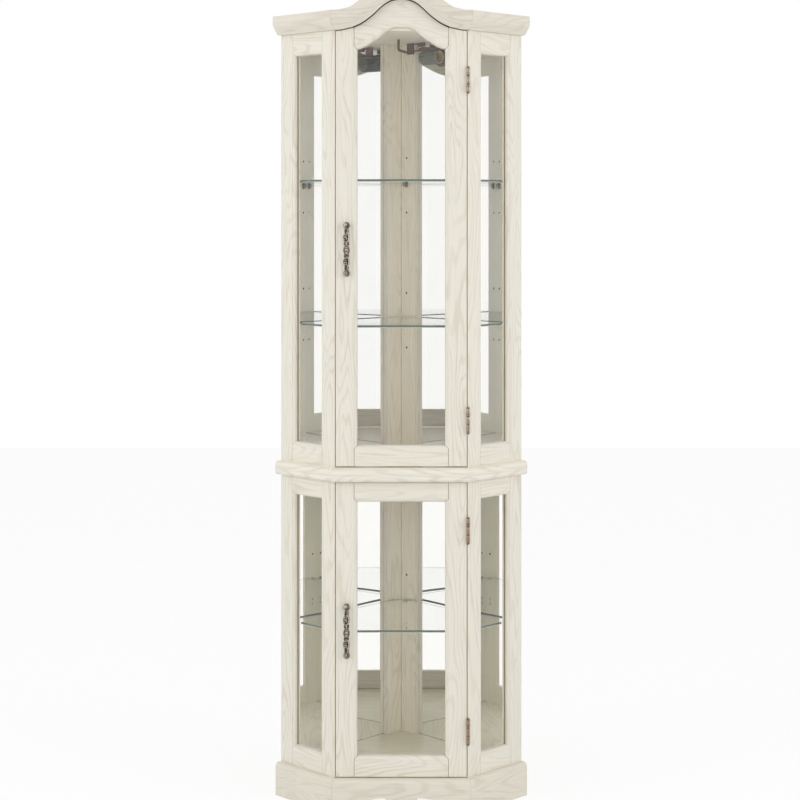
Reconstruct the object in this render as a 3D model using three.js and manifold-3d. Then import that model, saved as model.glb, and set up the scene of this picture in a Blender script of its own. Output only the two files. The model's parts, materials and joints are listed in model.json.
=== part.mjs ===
import * as THREE from "three";
import { mergeVertices } from "three/addons/utils/BufferGeometryUtils.js";
import Module from "manifold-3d";

// A five-sided corner display cabinet in two sections, in millimetres, Z up.
// X runs from left to right, and Y from the doors towards the corner of the room.
// The two angled sides stand square to the two back walls.

const wasm = await Module();
wasm.setup();

// Plan of the body
const frontHalfWidth = 143;
const sideLength = 176.8;
const sideTurn = Math.PI / 4;
const frameThickness = 18;

// Heights, from the floor up
const plinthHeight = 73;
const lowerFrameHeight = 640;
const waistLowerThickness = 15;
const waistUpperThickness = 16.5;
const upperFrameHeight = 945.5;
const crownHeight = 41;
const archRise = 69;

// Overhangs of the mouldings
const plinthOverhang = 16.5;
const waistOverhang = 18;
const crownOverhang = 25;

// Frames of the sides and the doors
const innerStileWidth = 48.4;
const outerStileWidth = 45;
const doorStileWidth = 48;
const bottomRailHeight = 45;
const lowerTopRailHeight = 42;
const upperTopRailHeight = 49;
const archOpeningRise = 46.4;
const archRailHeight = 39.2;
const mouldWidth = 7;
const mouldDepth = 8;
const mouldQuirk = 1;
const grooveLip = 0.7;
const grooveDepth = 4;
const glassThickness = 3;
const glassPlay = 0.3;
const glassEdgePlay = 0.5;

// Gaps
const jointGap = 0.3;
const glueLap = 2;
const doorSideGap = 2.6;
const doorEndGap = 2.1;
const doorBackGap = 0.6;

// Boards, back walls and rear posts
const baseFloorThickness = 16;
const ceilingThickness = 16;
const backBoardThickness = 5;
const mirrorThickness = 3;
const postProud = 10.4;
const postLegWidth = 48;
const postTuck = 10;
const rearRailThickness = 16;
const plinthRound = 9;
const waistRound = 9;
const crownLedge = 12;
const crownBackerThickness = 12;
const crownBackerDrop = 4;

// Scalloped lower edge of the front plinth board
const scallopHalfWidth = 112;
const scallopRise = 34;
const scallopStep = 0.4;

// Glass shelves and their pins
const shelfThickness = 5;
const shelfPlay = 3.4;
const shelfFront = 26;
const shelfCornerCut = 22;
const shelfTipHalfWidth = 16.5;
const upperShelfTop = 1368;
const middleShelfTop = 1050;
const lowerShelfTop = 386.5;
const pinSeatGap = 0.3;
const pinHoleRadius = 2.5;
const pinHoleDepth = 8;
const pinHolePitch = 64;
const pinShankRadius = 2.2;
const pinShankLength = 7;
const pinCollarRadius = 5.5;
const pinCollarThickness = 2.5;
const pinPegRadius = 2.4;
const pinPegLength = 12;
const pinFromOuterEdge = 21;
const pinFromInnerEdge = 18;
const pinFromPostCorner = 17.5;

// Hinges
const hingeStandoff = 4;
const hingeLength = 55;
const knuckleRadius = 4.3;
const knuckleBore = 2.1;
const knuckleGap = 0.3;
const hingePinRadius = 1.75;
const hingeTipRadius = 3;
const hingeTipHeight = 2.4;
const leafThickness = 0.8;
const leafGap = 0.25;
const leafReach = 14;
const leafKnuckleClearance = 0.5;
const upperHingeInset = 108;
const upperHingeBaseInset = 101.5;
const lowerHingeInset = 105;
const lowerHingeBaseInset = 100.5;

// Pull handles
const handleLength = 119;
const handleHalfWidth = 7.3;
const handleHalfDepth = 4.6;
const handleStandoff = 13;
const handleBow = 4.5;
const handleFootRadius = 5;
const handleFromEdge = 25;
const upperHandleHeight = 1216;
const lowerHandleHeight = 392;

// Door catches and their strike plates
const catchLength = 40;
const catchSize = 12;
const catchFromEdge = 25;
const strikeThickness = 0.8;
const strikeInset = 8;
const strikeMargin = 1;

// Lamp holder under the ceiling
const socketRadius = 16.8;
const socketLength = 57;
const socketFromWall = 35.3;
const socketStart = 217;
const socketDrop = 36;
const socketMouthDepth = 28;
const socketRimThickness = 3.3;
const contactRadius = 4.5;
const contactHeight = 3;
const bracketThickness = 2;
const bracketWidth = 14;
const bracketOverrun = 14;
const bracketTabLength = 18;
const clipLength = 26;
const clipHeight = 26;
const leadRadius = 3;
const leadDrop = 22;
const leadBend = 14;
const leadHoleFromFront = 210;
const leadHoleFromCentre = 6;

// Shares of a curve's half width and rise, chosen by eye
const doorArchShares = [
  [0, 1], [0.074, 0.971], [0.129, 0.946], [0.243, 0.828], [0.336, 0.668], [0.414, 0.509],
  [0.491, 0.38], [0.569, 0.261], [0.645, 0.172], [0.715, 0.107], [0.8, 0.07], [0.877, 0.029],
  [1, 0],
];
const openingArchShares = [
  [0, 1], [0.16, 0.995], [0.237, 0.953], [0.308, 0.881], [0.436, 0.668], [0.552, 0.476],
  [0.668, 0.321], [0.784, 0.168], [0.9, 0.06], [1, 0],
];
const scallopShares = [
  [0, 0.62], [0.1, 0.63], [0.2, 0.68], [0.3, 0.8], [0.4, 1], [0.48, 0.97],
  [0.58, 0.9], [0.68, 0.8], [0.8, 0.62], [0.9, 0.38], [0.97, 0.15], [1, 0],
];
const scallopStepShare = 0.305;

// Shares of the crown's overhang and height, from its lip to its top edge
const crownShares = [
  [0.44, 0], [0.48, 0.05], [0.66, 0.207], [0.84, 0.354], [1, 0.512], [1, 0.976], [0.96, 1],
];

// Shares of the handle's half length and half width, from its middle to its end
const handleShares = [
  [0, 1], [0.08, 0.95], [0.14, 0.78], [0.176, 0.5], [0.2, 0.62], [0.225, 0.76], [0.26, 0.62],
  [0.29, 0.5], [0.36, 0.8], [0.45, 0.95], [0.54, 0.85], [0.61, 0.55], [0.67, 0.38],
  [0.72, 0.42], [0.77, 0.75], [0.83, 0.98], [0.88, 1], [0.94, 0.8], [1, 0.2],
];
const handleFootShare = 0.88;

// Counts
const ovoloSteps = 5;
const roundSteps = 5;
const archSteps = 36;
const handleSides = 10;
const barrelSides = 12;
const pinSides = 10;
const socketSides = 20;
const leadSides = 8;
const leadSteps = 24;
const cutOverrun = 2;

// Worked out from the sizes above
const mitre = Math.tan(sideTurn / 2);
const wallLength = sideLength + 2 * frontHalfWidth * Math.cos(sideTurn);
const outerHalfWidth = frontHalfWidth + sideLength * Math.cos(sideTurn);
const outerDepth = sideLength * Math.sin(sideTurn);
const rearDepth = outerDepth + outerHalfWidth * Math.tan(sideTurn);
const lowerBase = plinthHeight;
const lowerTop = lowerBase + lowerFrameHeight;
const waistSeam = lowerTop + waistLowerThickness;
const upperBase = waistSeam + waistUpperThickness;
const upperTop = upperBase + upperFrameHeight;
const ceilingTop = upperTop + ceilingThickness;
const grooveFront = mouldDepth + grooveLip;
const grooveBack = grooveFront + glassThickness + 2 * glassPlay;
const mirrorFront = backBoardThickness + jointGap + mirrorThickness;
const rebateDepth = mirrorFront + jointGap;
const postFront = rebateDepth + postProud;
const doorOpeningHalfWidth = frontHalfWidth - doorStileWidth;

// Finishes
const finishes = {
  wood: { color: 0xe6e1d4, roughness: 0.55, metalness: 0 },
  board: { color: 0xdcd6c8, roughness: 0.65, metalness: 0 },
  glass: { color: 0xdfe9e2, roughness: 0.05, metalness: 0, transparent: true, opacity: 0.25 },
  mirror: { color: 0xd8ddd8, roughness: 0.03, metalness: 1 },
  bronze: { color: 0x7d6a58, roughness: 0.4, metalness: 0.9 },
  pull: { color: 0x8b7d68, roughness: 0.35, metalness: 0.9 },
  steel: { color: 0x8a8078, roughness: 0.45, metalness: 0.8 },
  socket: { color: 0x5f5f5a, roughness: 0.5, metalness: 0 },
  brass: { color: 0xc49a5a, roughness: 0.3, metalness: 0.9 },
  plastic: { color: 0xe4e0d6, roughness: 0.5, metalness: 0 },
};

const model = new THREE.Group();
model.position.y = (crownOverhang - rearDepth) / 2;

function add(group, name, geometry, finish) {
  const mesh = new THREE.Mesh(geometry, new THREE.MeshStandardMaterial(finishes[finish]));
  mesh.name = name;
  group.add(mesh);
  return mesh;
}

// Solids

function prism(outline, bottom, top) {
  const shape = new THREE.Shape(outline.map(([x, y]) => new THREE.Vector2(x, y)));
  const geometry = new THREE.ExtrudeGeometry(shape, { depth: top - bottom, bevelEnabled: false });
  geometry.translate(0, 0, bottom);
  return geometry;
}

// An outline in depth and height, drawn out along X
function beam(outline, start, end) {
  const geometry = prism(outline, start, end);
  const turn = new THREE.Matrix4().makeBasis(
    new THREE.Vector3(0, 1, 0),
    new THREE.Vector3(0, 0, 1),
    new THREE.Vector3(1, 0, 0),
  );
  return geometry.applyMatrix4(turn);
}

// An outline in width and height, drawn out along Y
function panel(outline, front, back) {
  const geometry = prism(outline, -back, -front);
  return geometry.rotateX(Math.PI / 2);
}

function box(x, y, z) {
  const geometry = new THREE.BoxGeometry(x[1] - x[0], y[1] - y[0], z[1] - z[0]);
  return geometry.translate((x[0] + x[1]) / 2, (y[0] + y[1]) / 2, (z[0] + z[1]) / 2);
}

// A cylinder along Z
function rod(radius, bottom, top, sides) {
  const geometry = new THREE.CylinderGeometry(radius, radius, top - bottom, sides);
  return geometry.rotateX(Math.PI / 2).translate(0, 0, (bottom + top) / 2);
}

function capTriangles(ring) {
  const normal = new THREE.Vector3();
  ring.forEach((point, i) => {
    const next = ring[(i + 1) % ring.length];
    normal.x += (point.y - next.y) * (point.z + next.z);
    normal.y += (point.z - next.z) * (point.x + next.x);
    normal.z += (point.x - next.x) * (point.y + next.y);
  });
  const [ax, ay, az] = normal.toArray().map(Math.abs);
  const flatten = (p) => {
    if (ax >= ay && ax >= az) return new THREE.Vector2(p.y, p.z);
    if (ay >= az) return new THREE.Vector2(p.z, p.x);
    return new THREE.Vector2(p.x, p.y);
  };
  const flat = ring.map(flatten);
  const ringSign = Math.sign(THREE.ShapeUtils.area(flat));
  return THREE.ShapeUtils.triangulateShape(flat, []).map((face) => {
    const sign = Math.sign(THREE.ShapeUtils.area(face.map((k) => flat[k])));
    return sign === ringSign ? face : [...face].reverse();
  });
}

function signedVolume(points, faces) {
  const cross = new THREE.Vector3();
  return faces.reduce((sum, [a, b, c]) => {
    cross.crossVectors(points[b], points[c]);
    return sum + points[a].dot(cross);
  }, 0);
}

// A closed body through a row of rings that all have the same number of points
function loft(rings) {
  const count = rings[0].length;
  const points = rings.flat();
  const faces = [];
  for (let i = 0; i + 1 < rings.length; i += 1) {
    for (let k = 0; k < count; k += 1) {
      const a = i * count + k;
      const b = i * count + ((k + 1) % count);
      faces.push([a, b, b + count], [a, b + count, a + count]);
    }
  }
  const last = (rings.length - 1) * count;
  capTriangles(rings[0]).forEach((face) => faces.push([...face].reverse()));
  capTriangles(rings.at(-1)).forEach((face) => faces.push(face.map((k) => last + k)));
  const outward = signedVolume(points, faces) > 0;
  const geometry = new THREE.BufferGeometry();
  geometry.setAttribute(
    "position",
    new THREE.Float32BufferAttribute(points.flatMap((p) => p.toArray()), 3),
  );
  geometry.setIndex(faces.flatMap((face) => (outward ? face : [...face].reverse())));
  return geometry;
}

function toManifold(geometry) {
  const bare = geometry.clone();
  bare.deleteAttribute("normal");
  bare.deleteAttribute("uv");
  const merged = mergeVertices(bare);
  return new wasm.Manifold(new wasm.Mesh({
    numProp: 3,
    vertProperties: new Float32Array(merged.attributes.position.array),
    triVerts: new Uint32Array(merged.index.array),
  }));
}

function fromManifold(solid) {
  const mesh = solid.getMesh();
  const geometry = new THREE.BufferGeometry();
  geometry.setAttribute("position", new THREE.BufferAttribute(mesh.vertProperties, 3));
  geometry.setIndex(new THREE.BufferAttribute(mesh.triVerts, 1));
  return geometry;
}

function combine(geometries) {
  return fromManifold(geometries.map(toManifold).reduce((whole, next) => whole.add(next)));
}

function cut(geometry, tools) {
  return fromManifold(tools.map(toManifold).reduce(
    (whole, tool) => whole.subtract(tool),
    toManifold(geometry),
  ));
}

function common(geometry, other) {
  return fromManifold(toManifold(geometry).intersect(toManifold(other)));
}

// Curves

function curveThrough(table) {
  const places = table.map(([place]) => place);
  const values = table.map(([, value]) => value);
  const curve = new THREE.CubicInterpolant(places, values, 1);
  curve.settings = { endingStart: THREE.ZeroSlopeEnding, endingEnd: THREE.ZeroSlopeEnding };
  return (place) => curve.evaluate(Math.min(Math.abs(place), 1))[0];
}

const doorArch = curveThrough(doorArchShares);
const openingArch = curveThrough(openingArchShares);

function crownLow(x) {
  return upperTop + archRise * doorArch(x / frontHalfWidth);
}

function slopeOf(height, x) {
  const step = frontHalfWidth / archSteps;
  return (height(x + step) - height(x - step)) / (2 * step);
}

function evenly(from, to, steps) {
  return Array.from({ length: steps + 1 }, (_, i) => from + ((to - from) * i) / steps);
}

// The section of a frame's inner edge: distance from the flat face, and depth
const ovolo = evenly(0, Math.PI / 2, ovoloSteps).map((turn) => [
  mouldWidth * Math.sin(turn),
  mouldDepth - (mouldDepth - mouldQuirk) * Math.cos(turn),
]);
const framedEdge = [
  [0, 0],
  ...ovolo,
  [mouldWidth, grooveFront],
  [mouldWidth - grooveDepth, grooveFront],
  [mouldWidth - grooveDepth, grooveBack],
  [mouldWidth, grooveBack],
  [mouldWidth, frameThickness],
];

// The mitred edge between a door and a side frame, at a depth behind the face
function mitreEdge(depth) {
  return doorSideGap / 2 / Math.cos(sideTurn / 2) + depth * mitre;
}

// Room that a coped rail end leaves for the moulded edge of a stile
function copeTool(seam, direction, bottom, top) {
  const outline = [
    [seam + direction * jointGap, -cutOverrun],
    ...ovolo.map(([inward, depth]) => [seam + direction * (inward + jointGap), depth]),
    [seam + direction * (mouldWidth + jointGap), frameThickness + cutOverrun],
    [seam - direction * cutOverrun, frameThickness + cutOverrun],
    [seam - direction * cutOverrun, -cutOverrun],
  ];
  return prism(outline, bottom - cutOverrun, top + cutOverrun);
}

// A straight rail whose moulded edge faces up (towards = 1) or down (towards = -1)
function straightRail(edge, towards, height, left, right) {
  const outline = [
    [0, edge],
    ...framedEdge.map(([inward, depth]) => [
      depth,
      edge + towards * (height - mouldWidth + inward),
    ]),
    [frameThickness, edge],
  ];
  return beam(outline, left, right);
}

// The same rail with its ends cut to the moulded edges of two stiles
function copedRail(edge, towards, height, seam) {
  const low = Math.min(edge, edge + towards * height);
  return cut(straightRail(edge, towards, height, -seam, seam), [
    copeTool(-seam, 1, low, low + height),
    copeTool(seam, -1, low, low + height),
  ]);
}

// Side frames, back walls and rear posts stand in groups turned with the sides.
// In them X runs along the side from the front corner, and Y runs inwards.
function turnedGroup(hand) {
  const group = new THREE.Group();
  group.position.x = hand * frontHalfWidth;
  group.rotation.z = hand * sideTurn;
  group.updateMatrix();
  model.add(group);
  return group;
}

const sides = [
  { name: "right", hand: 1, group: turnedGroup(1) },
  { name: "left", hand: -1, group: turnedGroup(-1) },
];

const shelfLevels = {
  lower: [lowerShelfTop],
  upper: [middleShelfTop, upperShelfTop],
};

const sections = [
  { name: "lower", bottom: lowerBase, top: lowerTop, topRail: lowerTopRailHeight },
  { name: "upper", bottom: upperBase, top: upperTop, topRail: upperTopRailHeight },
];

function pinHeights(section) {
  return shelfLevels[section.name].map((level) => (
    level - shelfThickness - pinPegRadius - pinSeatGap
  ));
}

// A shelf pin along Z, set in wood below zero, with its collar and peg above
function shelfPin() {
  const profile = [
    [0, -pinShankLength],
    [pinShankRadius, -pinShankLength],
    [pinShankRadius, 0],
    [pinCollarRadius, 0],
    [pinCollarRadius, pinCollarThickness],
    [pinPegRadius, pinCollarThickness],
    [pinPegRadius, pinPegLength],
    [0, pinPegLength],
  ];
  const points = profile.map(([radius, height]) => new THREE.Vector2(radius, height));
  return new THREE.LatheGeometry(points, pinSides).rotateX(Math.PI / 2);
}

// A blind hole along Z for a shelf pin
function pinHole() {
  return rod(pinHoleRadius, -pinHoleDepth, cutOverrun, pinSides);
}

// Sets one pin for each shelf in a piece, with a free hole above it and one below
function pinned(geometry, section, place) {
  const heights = pinHeights(section);
  const pins = heights.map((height) => place(shelfPin(), height));
  const holes = heights.flatMap((height) => [
    place(pinHole(), height - pinHolePitch),
    place(pinHole(), height + pinHolePitch),
  ]);
  return combine([cut(geometry, holes), ...pins]);
}

const outerPinPlace = sideLength - pinFromOuterEdge;
const innerPinPlace = innerStileWidth - pinFromInnerEdge;

// The two stiles and two rails of a side frame are glued into one piece
function addSideFrame(section, side) {
  const prefix = `${section.name}_${side.name}_side`;
  const mirrored = ([x, y]) => [side.hand * x, y];
  const innerSeam = innerStileWidth - mouldWidth;
  const outerSeam = sideLength - outerStileWidth + mouldWidth;
  const innerOutline = [
    [mitreEdge(0), 0],
    ...framedEdge.map(([inward, depth]) => [innerSeam + inward, depth]),
    [mitreEdge(frameThickness), frameThickness],
  ];
  const outerOutline = [
    [sideLength, 0],
    ...framedEdge.map(([inward, depth]) => [outerSeam - inward, depth]),
    [sideLength, frameThickness],
  ];
  const stile = (outline, pinPlace) => pinned(
    prism(outline.map(mirrored), section.bottom, section.top),
    section,
    (piece, height) => (
      piece.rotateX(-Math.PI / 2).translate(side.hand * pinPlace, frameThickness, height)
    ),
  );
  const railEnds = [innerSeam - glueLap, outerSeam + glueLap].map((x) => side.hand * x);
  railEnds.sort((a, b) => a - b);
  const frame = combine([
    stile(innerOutline, innerPinPlace),
    stile(outerOutline, outerPinPlace),
    straightRail(section.bottom, 1, bottomRailHeight, ...railEnds),
    straightRail(section.top, -1, section.topRail, ...railEnds),
  ]);
  add(side.group, `${prefix}_frame`, frame, "wood");

  const reach = grooveDepth - glassEdgePlay;
  const glassOutline = [
    [innerStileWidth - reach, grooveFront + glassPlay],
    [sideLength - outerStileWidth + reach, grooveFront + glassPlay],
    [sideLength - outerStileWidth + reach, grooveBack - glassPlay],
    [innerStileWidth - reach, grooveBack - glassPlay],
  ];
  const glass = prism(
    glassOutline.map(mirrored),
    section.bottom + bottomRailHeight - reach,
    section.top - section.topRail + reach,
  );
  add(side.group, `${prefix}_glass`, glass, "glass");
}

// A sheet against a back wall, between two depths from the wall's outer face
function wallSheet(side, section, near, far) {
  const start = frameThickness + jointGap;
  const end = wallLength - postFront - postLegWidth + postTuck - jointGap;
  const along = [sideLength - far, sideLength - near].map((x) => side.hand * x);
  return box(along.sort((a, b) => a - b), [start, end], [section.bottom, section.top]);
}

function addBackWall(section, side) {
  const prefix = `${section.name}_${side.name}`;
  const board = wallSheet(side, section, 0, backBoardThickness);
  const mirror = wallSheet(side, section, backBoardThickness + jointGap, mirrorFront);
  add(side.group, `${prefix}_back_board`, board, "board");
  add(side.group, `${prefix}_mirror`, mirror, "mirror");
}

// The rear post is an L whose two legs hide the edges of the mirrors
function addRearPost(section) {
  const legEnd = postFront + postLegWidth;
  const tuckEnd = legEnd - postTuck;
  const halfOutline = [
    [0, tuckEnd], [rebateDepth, tuckEnd], [rebateDepth, legEnd],
    [postFront, legEnd], [postFront, postFront],
  ];
  const otherHalf = halfOutline.slice(0, -1).map(([a, b]) => [b, a]).reverse();
  const outline = [[0, 0], ...halfOutline, ...otherHalf].map(([fromRight, fromLeft]) => [
    sideLength - fromRight,
    wallLength - fromLeft,
  ]);
  const pinDepth = wallLength - postFront - pinFromPostCorner;
  const post = pinned(prism(outline, section.bottom, section.top), section, (piece, height) => (
    piece.rotateY(-Math.PI / 2).translate(sideLength - postFront, pinDepth, height)
  ));
  add(sides[0].group, `${section.name}_rear_post`, post, "wood");
}

sections.forEach((section) => {
  sides.forEach((side) => {
    addSideFrame(section, side);
    addBackWall(section, side);
  });
  addRearPost(section);
});

// Five-sided boards

// A point of the plan, from a place along the right side and a depth inwards
function fromSide(along, inwards, hand) {
  const x = frontHalfWidth + along * Math.cos(sideTurn) - inwards * Math.sin(sideTurn);
  const y = along * Math.sin(sideTurn) + inwards * Math.cos(sideTurn);
  return [hand * x, y];
}

function pentagon(overhang) {
  const mitreX = frontHalfWidth + overhang * mitre;
  return [
    [-mitreX, -overhang],
    [mitreX, -overhang],
    fromSide(sideLength, -overhang, 1),
    [0, rearDepth],
    fromSide(sideLength, -overhang, -1),
  ];
}

// A five-sided board whose front and side edges follow levels of overhang and height
function mouldedBoard(levels) {
  return loft(levels.map(([overhang, height]) => (
    pentagon(overhang).map(([x, y]) => new THREE.Vector3(x, y, height))
  )));
}

const quarterRound = evenly(0, Math.PI / 2, roundSteps).map((turn) => [
  waistRound * (1 - Math.sin(turn)),
  waistRound * (1 - Math.cos(turn)),
]);
const waistLowerLevels = quarterRound.map(([back, up]) => [waistOverhang - back, lowerTop + up]);
const waistUpperLevels = quarterRound.map(([back, down]) => [
  waistOverhang - back,
  upperBase - down,
]).reverse();
waistLowerLevels.push([waistOverhang, waistSeam]);
waistUpperLevels.unshift([waistOverhang, waistSeam]);

const baseFloorBottom = lowerBase - baseFloorThickness;
add(model, "base_floor", prism(pentagon(0), baseFloorBottom, lowerBase), "board");
add(model, "waist_lower_board", mouldedBoard(waistLowerLevels), "wood");
add(model, "waist_upper_board", mouldedBoard(waistUpperLevels), "wood");

const ceilingFront = frameThickness + doorBackGap;
const ceilingFrontX = frontHalfWidth + ceilingFront / Math.tan(sideTurn);
const ceilingOutline = [
  [-ceilingFrontX, ceilingFront],
  [ceilingFrontX, ceilingFront],
  ...pentagon(0).slice(2),
];
add(model, "ceiling_board", prism(ceilingOutline, upperTop, ceilingTop), "board");

// Plinth

// The section of the plinth, as distance outwards and height, above a lower edge
function plinthSection(low) {
  const round = evenly(0, Math.PI / 2, roundSteps).map((turn) => [
    plinthOverhang - plinthRound * (1 - Math.cos(turn)),
    plinthHeight - plinthRound * (1 - Math.sin(turn)),
  ]);
  return [[jointGap, low], [plinthOverhang, low], ...round, [jointGap, plinthHeight]];
}

function scallopHeight(share) {
  const table = scallopShares;
  const next = table.findIndex(([place]) => place >= share);
  if (next <= 0) return next === 0 ? table[0][1] : 0;
  const [fromPlace, fromHeight] = table[next - 1];
  const [toPlace, toHeight] = table[next];
  const part = (share - fromPlace) / (toPlace - fromPlace);
  return fromHeight + part * (toHeight - fromHeight);
}

function plinthLow(x) {
  const share = Math.abs(x) / scallopHalfWidth;
  if (share > scallopStepShare && share < scallopShares[4][0]) return scallopRise;
  return scallopRise * scallopHeight(share);
}

// Places from the middle to the mitre where the plinth's section is drawn
const stepPlace = scallopStepShare * scallopHalfWidth;
const plinthPlaces = [
  ...scallopShares.slice(0, 4).map(([share]) => share * scallopHalfWidth),
  stepPlace,
  stepPlace + scallopStep,
  ...scallopShares.slice(4).map(([share]) => share * scallopHalfWidth),
];
const bothWays = (places) => [...places.slice(1).map((x) => -x).reverse(), ...places];

// The last ring of a front board lies in the mitre plane at the corner
function mitredRing(section, hand) {
  return section.map(([outwards, height]) => new THREE.Vector3(
    hand * (frontHalfWidth + outwards * mitre - jointGap / 2),
    -outwards,
    height,
  ));
}

const plinthFront = loft([
  mitredRing(plinthSection(0), -1),
  ...bothWays(plinthPlaces).map((x) => (
    plinthSection(plinthLow(x)).map(([outwards, z]) => new THREE.Vector3(x, -outwards, z))
  )),
  mitredRing(plinthSection(0), 1),
]);
add(model, "plinth_front", plinthFront, "wood");

// A moulding along a side, mitred at the front corner and cut off at the back wall
function sideMoulding(section, hand) {
  return loft([
    section.map(([outwards, height]) => (
      new THREE.Vector3(hand * (jointGap / 2 - outwards * mitre), -outwards, height)
    )),
    section.map(([outwards, height]) => (
      new THREE.Vector3(hand * sideLength, -outwards, height)
    )),
  ]);
}

sides.forEach(({ name, hand, group }) => {
  add(group, `plinth_${name}`, sideMoulding(plinthSection(0), hand), "wood");
});

// Two rear rails meet at the back corner
const rearRailInner = sideLength - rearRailThickness;
const rearRailDepth = wallLength - rearRailThickness;
const rearRailEnd = sideLength - wallLength + jointGap;
const rearRails = prism([
  [sideLength, jointGap],
  [sideLength, wallLength],
  [rearRailEnd, wallLength],
  [rearRailEnd, rearRailDepth],
  [rearRailInner, rearRailDepth],
  [rearRailInner, jointGap],
], 0, baseFloorBottom);
add(sides[0].group, "plinth_rear", rearRails, "board");

// Crown

const crownFace = crownShares.map(([out, up]) => [out * crownOverhang, up * crownHeight]);

function crownSideSection() {
  const face = crownFace.map(([outwards, up]) => [outwards, upperTop + up]);
  const top = upperTop + crownHeight;
  return [
    ...face,
    [-crownLedge, top],
    [-crownLedge, ceilingTop],
    [jointGap, ceilingTop],
    [jointGap, upperTop],
  ];
}

sides.forEach(({ name, hand, group }) => {
  add(group, `crown_${name}`, sideMoulding(crownSideSection(), hand), "wood");
});

// The front moulding follows the arch, square to its curve
const crownFrontBack = frameThickness;
const crownFrontSection = [
  ...crownFace,
  [-crownFrontBack, crownHeight],
  [-crownFrontBack, 0],
];

function archPoint(x, up) {
  const slope = slopeOf(crownLow, x);
  const length = Math.hypot(1, slope);
  return [x - (slope / length) * up, crownLow(x) + up / length];
}

const crownEndPlace = frontHalfWidth - crownFrontBack * mitre - cutOverrun;
const crownFront = loft([
  mitredRing(crownFrontSection.map(([out, up]) => [out, upperTop + up]), -1),
  ...evenly(-crownEndPlace, crownEndPlace, archSteps).map((place) => (
    crownFrontSection.map(([outwards, up]) => {
      const [x, z] = archPoint(place, up);
      return new THREE.Vector3(x, -outwards, z);
    })
  )),
  mitredRing(crownFrontSection.map(([out, up]) => [out, upperTop + up]), 1),
]);
add(model, "crown_front", crownFront, "wood");

const backerFront = crownFrontBack + doorBackGap;
const backerBack = backerFront + crownBackerThickness;
const backerHalfWidth = frontHalfWidth - backerBack * mitre;
const backerTop = evenly(-1, 1, archSteps)
  .map((share) => archPoint(share * crownEndPlace, crownHeight - crownBackerDrop))
  .filter(([x]) => Math.abs(x) < backerHalfWidth);
const backerOutline = [
  [-backerHalfWidth, ceilingTop],
  [backerHalfWidth, ceilingTop],
  [backerHalfWidth, backerTop.at(-1)[1]],
  ...backerTop.reverse(),
  [-backerHalfWidth, backerTop.at(-1)[1]],
];
add(model, "crown_backer", panel(backerOutline, backerFront, backerBack), "board");

// Doors

function doorTopLine(x) {
  return crownLow(x) - doorEndGap;
}

const openingTopBase = upperTop - doorEndGap - archRailHeight;

function openingLine(x) {
  return openingTopBase + archOpeningRise * openingArch(x / doorOpeningHalfWidth);
}

// The arched top rail: its section changes along the door
function archedRail(seam) {
  const rings = evenly(-seam, seam, archSteps).map((x) => {
    const stretch = Math.hypot(1, slopeOf(openingLine, x));
    const edge = framedEdge.map(([inward, depth]) => (
      new THREE.Vector3(x, depth, openingLine(x) + (mouldWidth - inward) * stretch)
    ));
    return [
      new THREE.Vector3(x, 0, doorTopLine(x)),
      ...edge,
      new THREE.Vector3(x, frameThickness, doorTopLine(x)),
    ];
  });
  const low = openingTopBase - mouldWidth;
  const high = upperTop + archRise;
  return cut(loft(rings), [copeTool(-seam, 1, low, high), copeTool(seam, -1, low, high)]);
}

function underArch(geometry, bottom) {
  const rings = evenly(-frontHalfWidth, frontHalfWidth, archSteps).map((x) => [
    new THREE.Vector3(x, -cutOverrun, bottom - cutOverrun),
    new THREE.Vector3(x, -cutOverrun, doorTopLine(x)),
    new THREE.Vector3(x, frameThickness + cutOverrun, doorTopLine(x)),
    new THREE.Vector3(x, frameThickness + cutOverrun, bottom - cutOverrun),
  ]);
  return common(geometry, loft(rings));
}

// Carved pull: round lobes and necks along a bowed bar on two feet
function pullHandle(x, height) {
  const halfLength = handleLength / 2;
  const table = [...handleShares.slice(1).map(([z, w]) => [-z, w]).reverse(), ...handleShares];
  const rings = table.map(([along, wide]) => {
    const centre = -handleStandoff - handleBow * (1 - along * along);
    return evenly(0, 2 * Math.PI, handleSides).slice(0, -1).map((turn) => new THREE.Vector3(
      x + handleHalfWidth * wide * Math.cos(turn),
      centre + handleHalfDepth * wide * Math.sin(turn),
      height + halfLength * along,
    ));
  });
  const feet = [-1, 1].map((end) => {
    const foot = rod(handleFootRadius, jointGap, handleStandoff, handleSides);
    foot.rotateX(Math.PI / 2);
    return foot.translate(x, 0, height + end * handleFootShare * halfLength);
  });
  return combine([loft(rings), ...feet]);
}

// Hinges stand in a group whose Y axis runs inwards along the mitre
const hingeGroup = new THREE.Group();
hingeGroup.position.x = frontHalfWidth;
hingeGroup.rotation.z = sideTurn / 2;
model.add(hingeGroup);

const knuckleLength = (hingeLength - 2 * knuckleGap) / 3;

// One hinge leaf on its side of the mitre, with its knuckles (0 at the bottom, 2 at the top)
function hingeLeaf(side, knuckles, centre) {
  const base = centre - hingeLength / 2;
  const far = side * (doorSideGap / 2 - leafGap);
  const x = [far, far - side * leafThickness].sort((a, b) => a - b);
  const plateStart = knuckleRadius - hingeStandoff + leafKnuckleClearance;
  const plate = box(x, [plateStart, leafReach], [base, base + hingeLength]);
  const pieces = knuckles.flatMap((place) => {
    const low = base + place * (knuckleLength + knuckleGap);
    const high = low + knuckleLength;
    const barrel = rod(knuckleRadius, low, high, barrelSides);
    const web = box(x, [-hingeStandoff, plateStart + leafKnuckleClearance], [low, high]);
    return [barrel.translate(0, -hingeStandoff, 0), web];
  });
  return combine([plate, ...pieces]);
}

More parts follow.
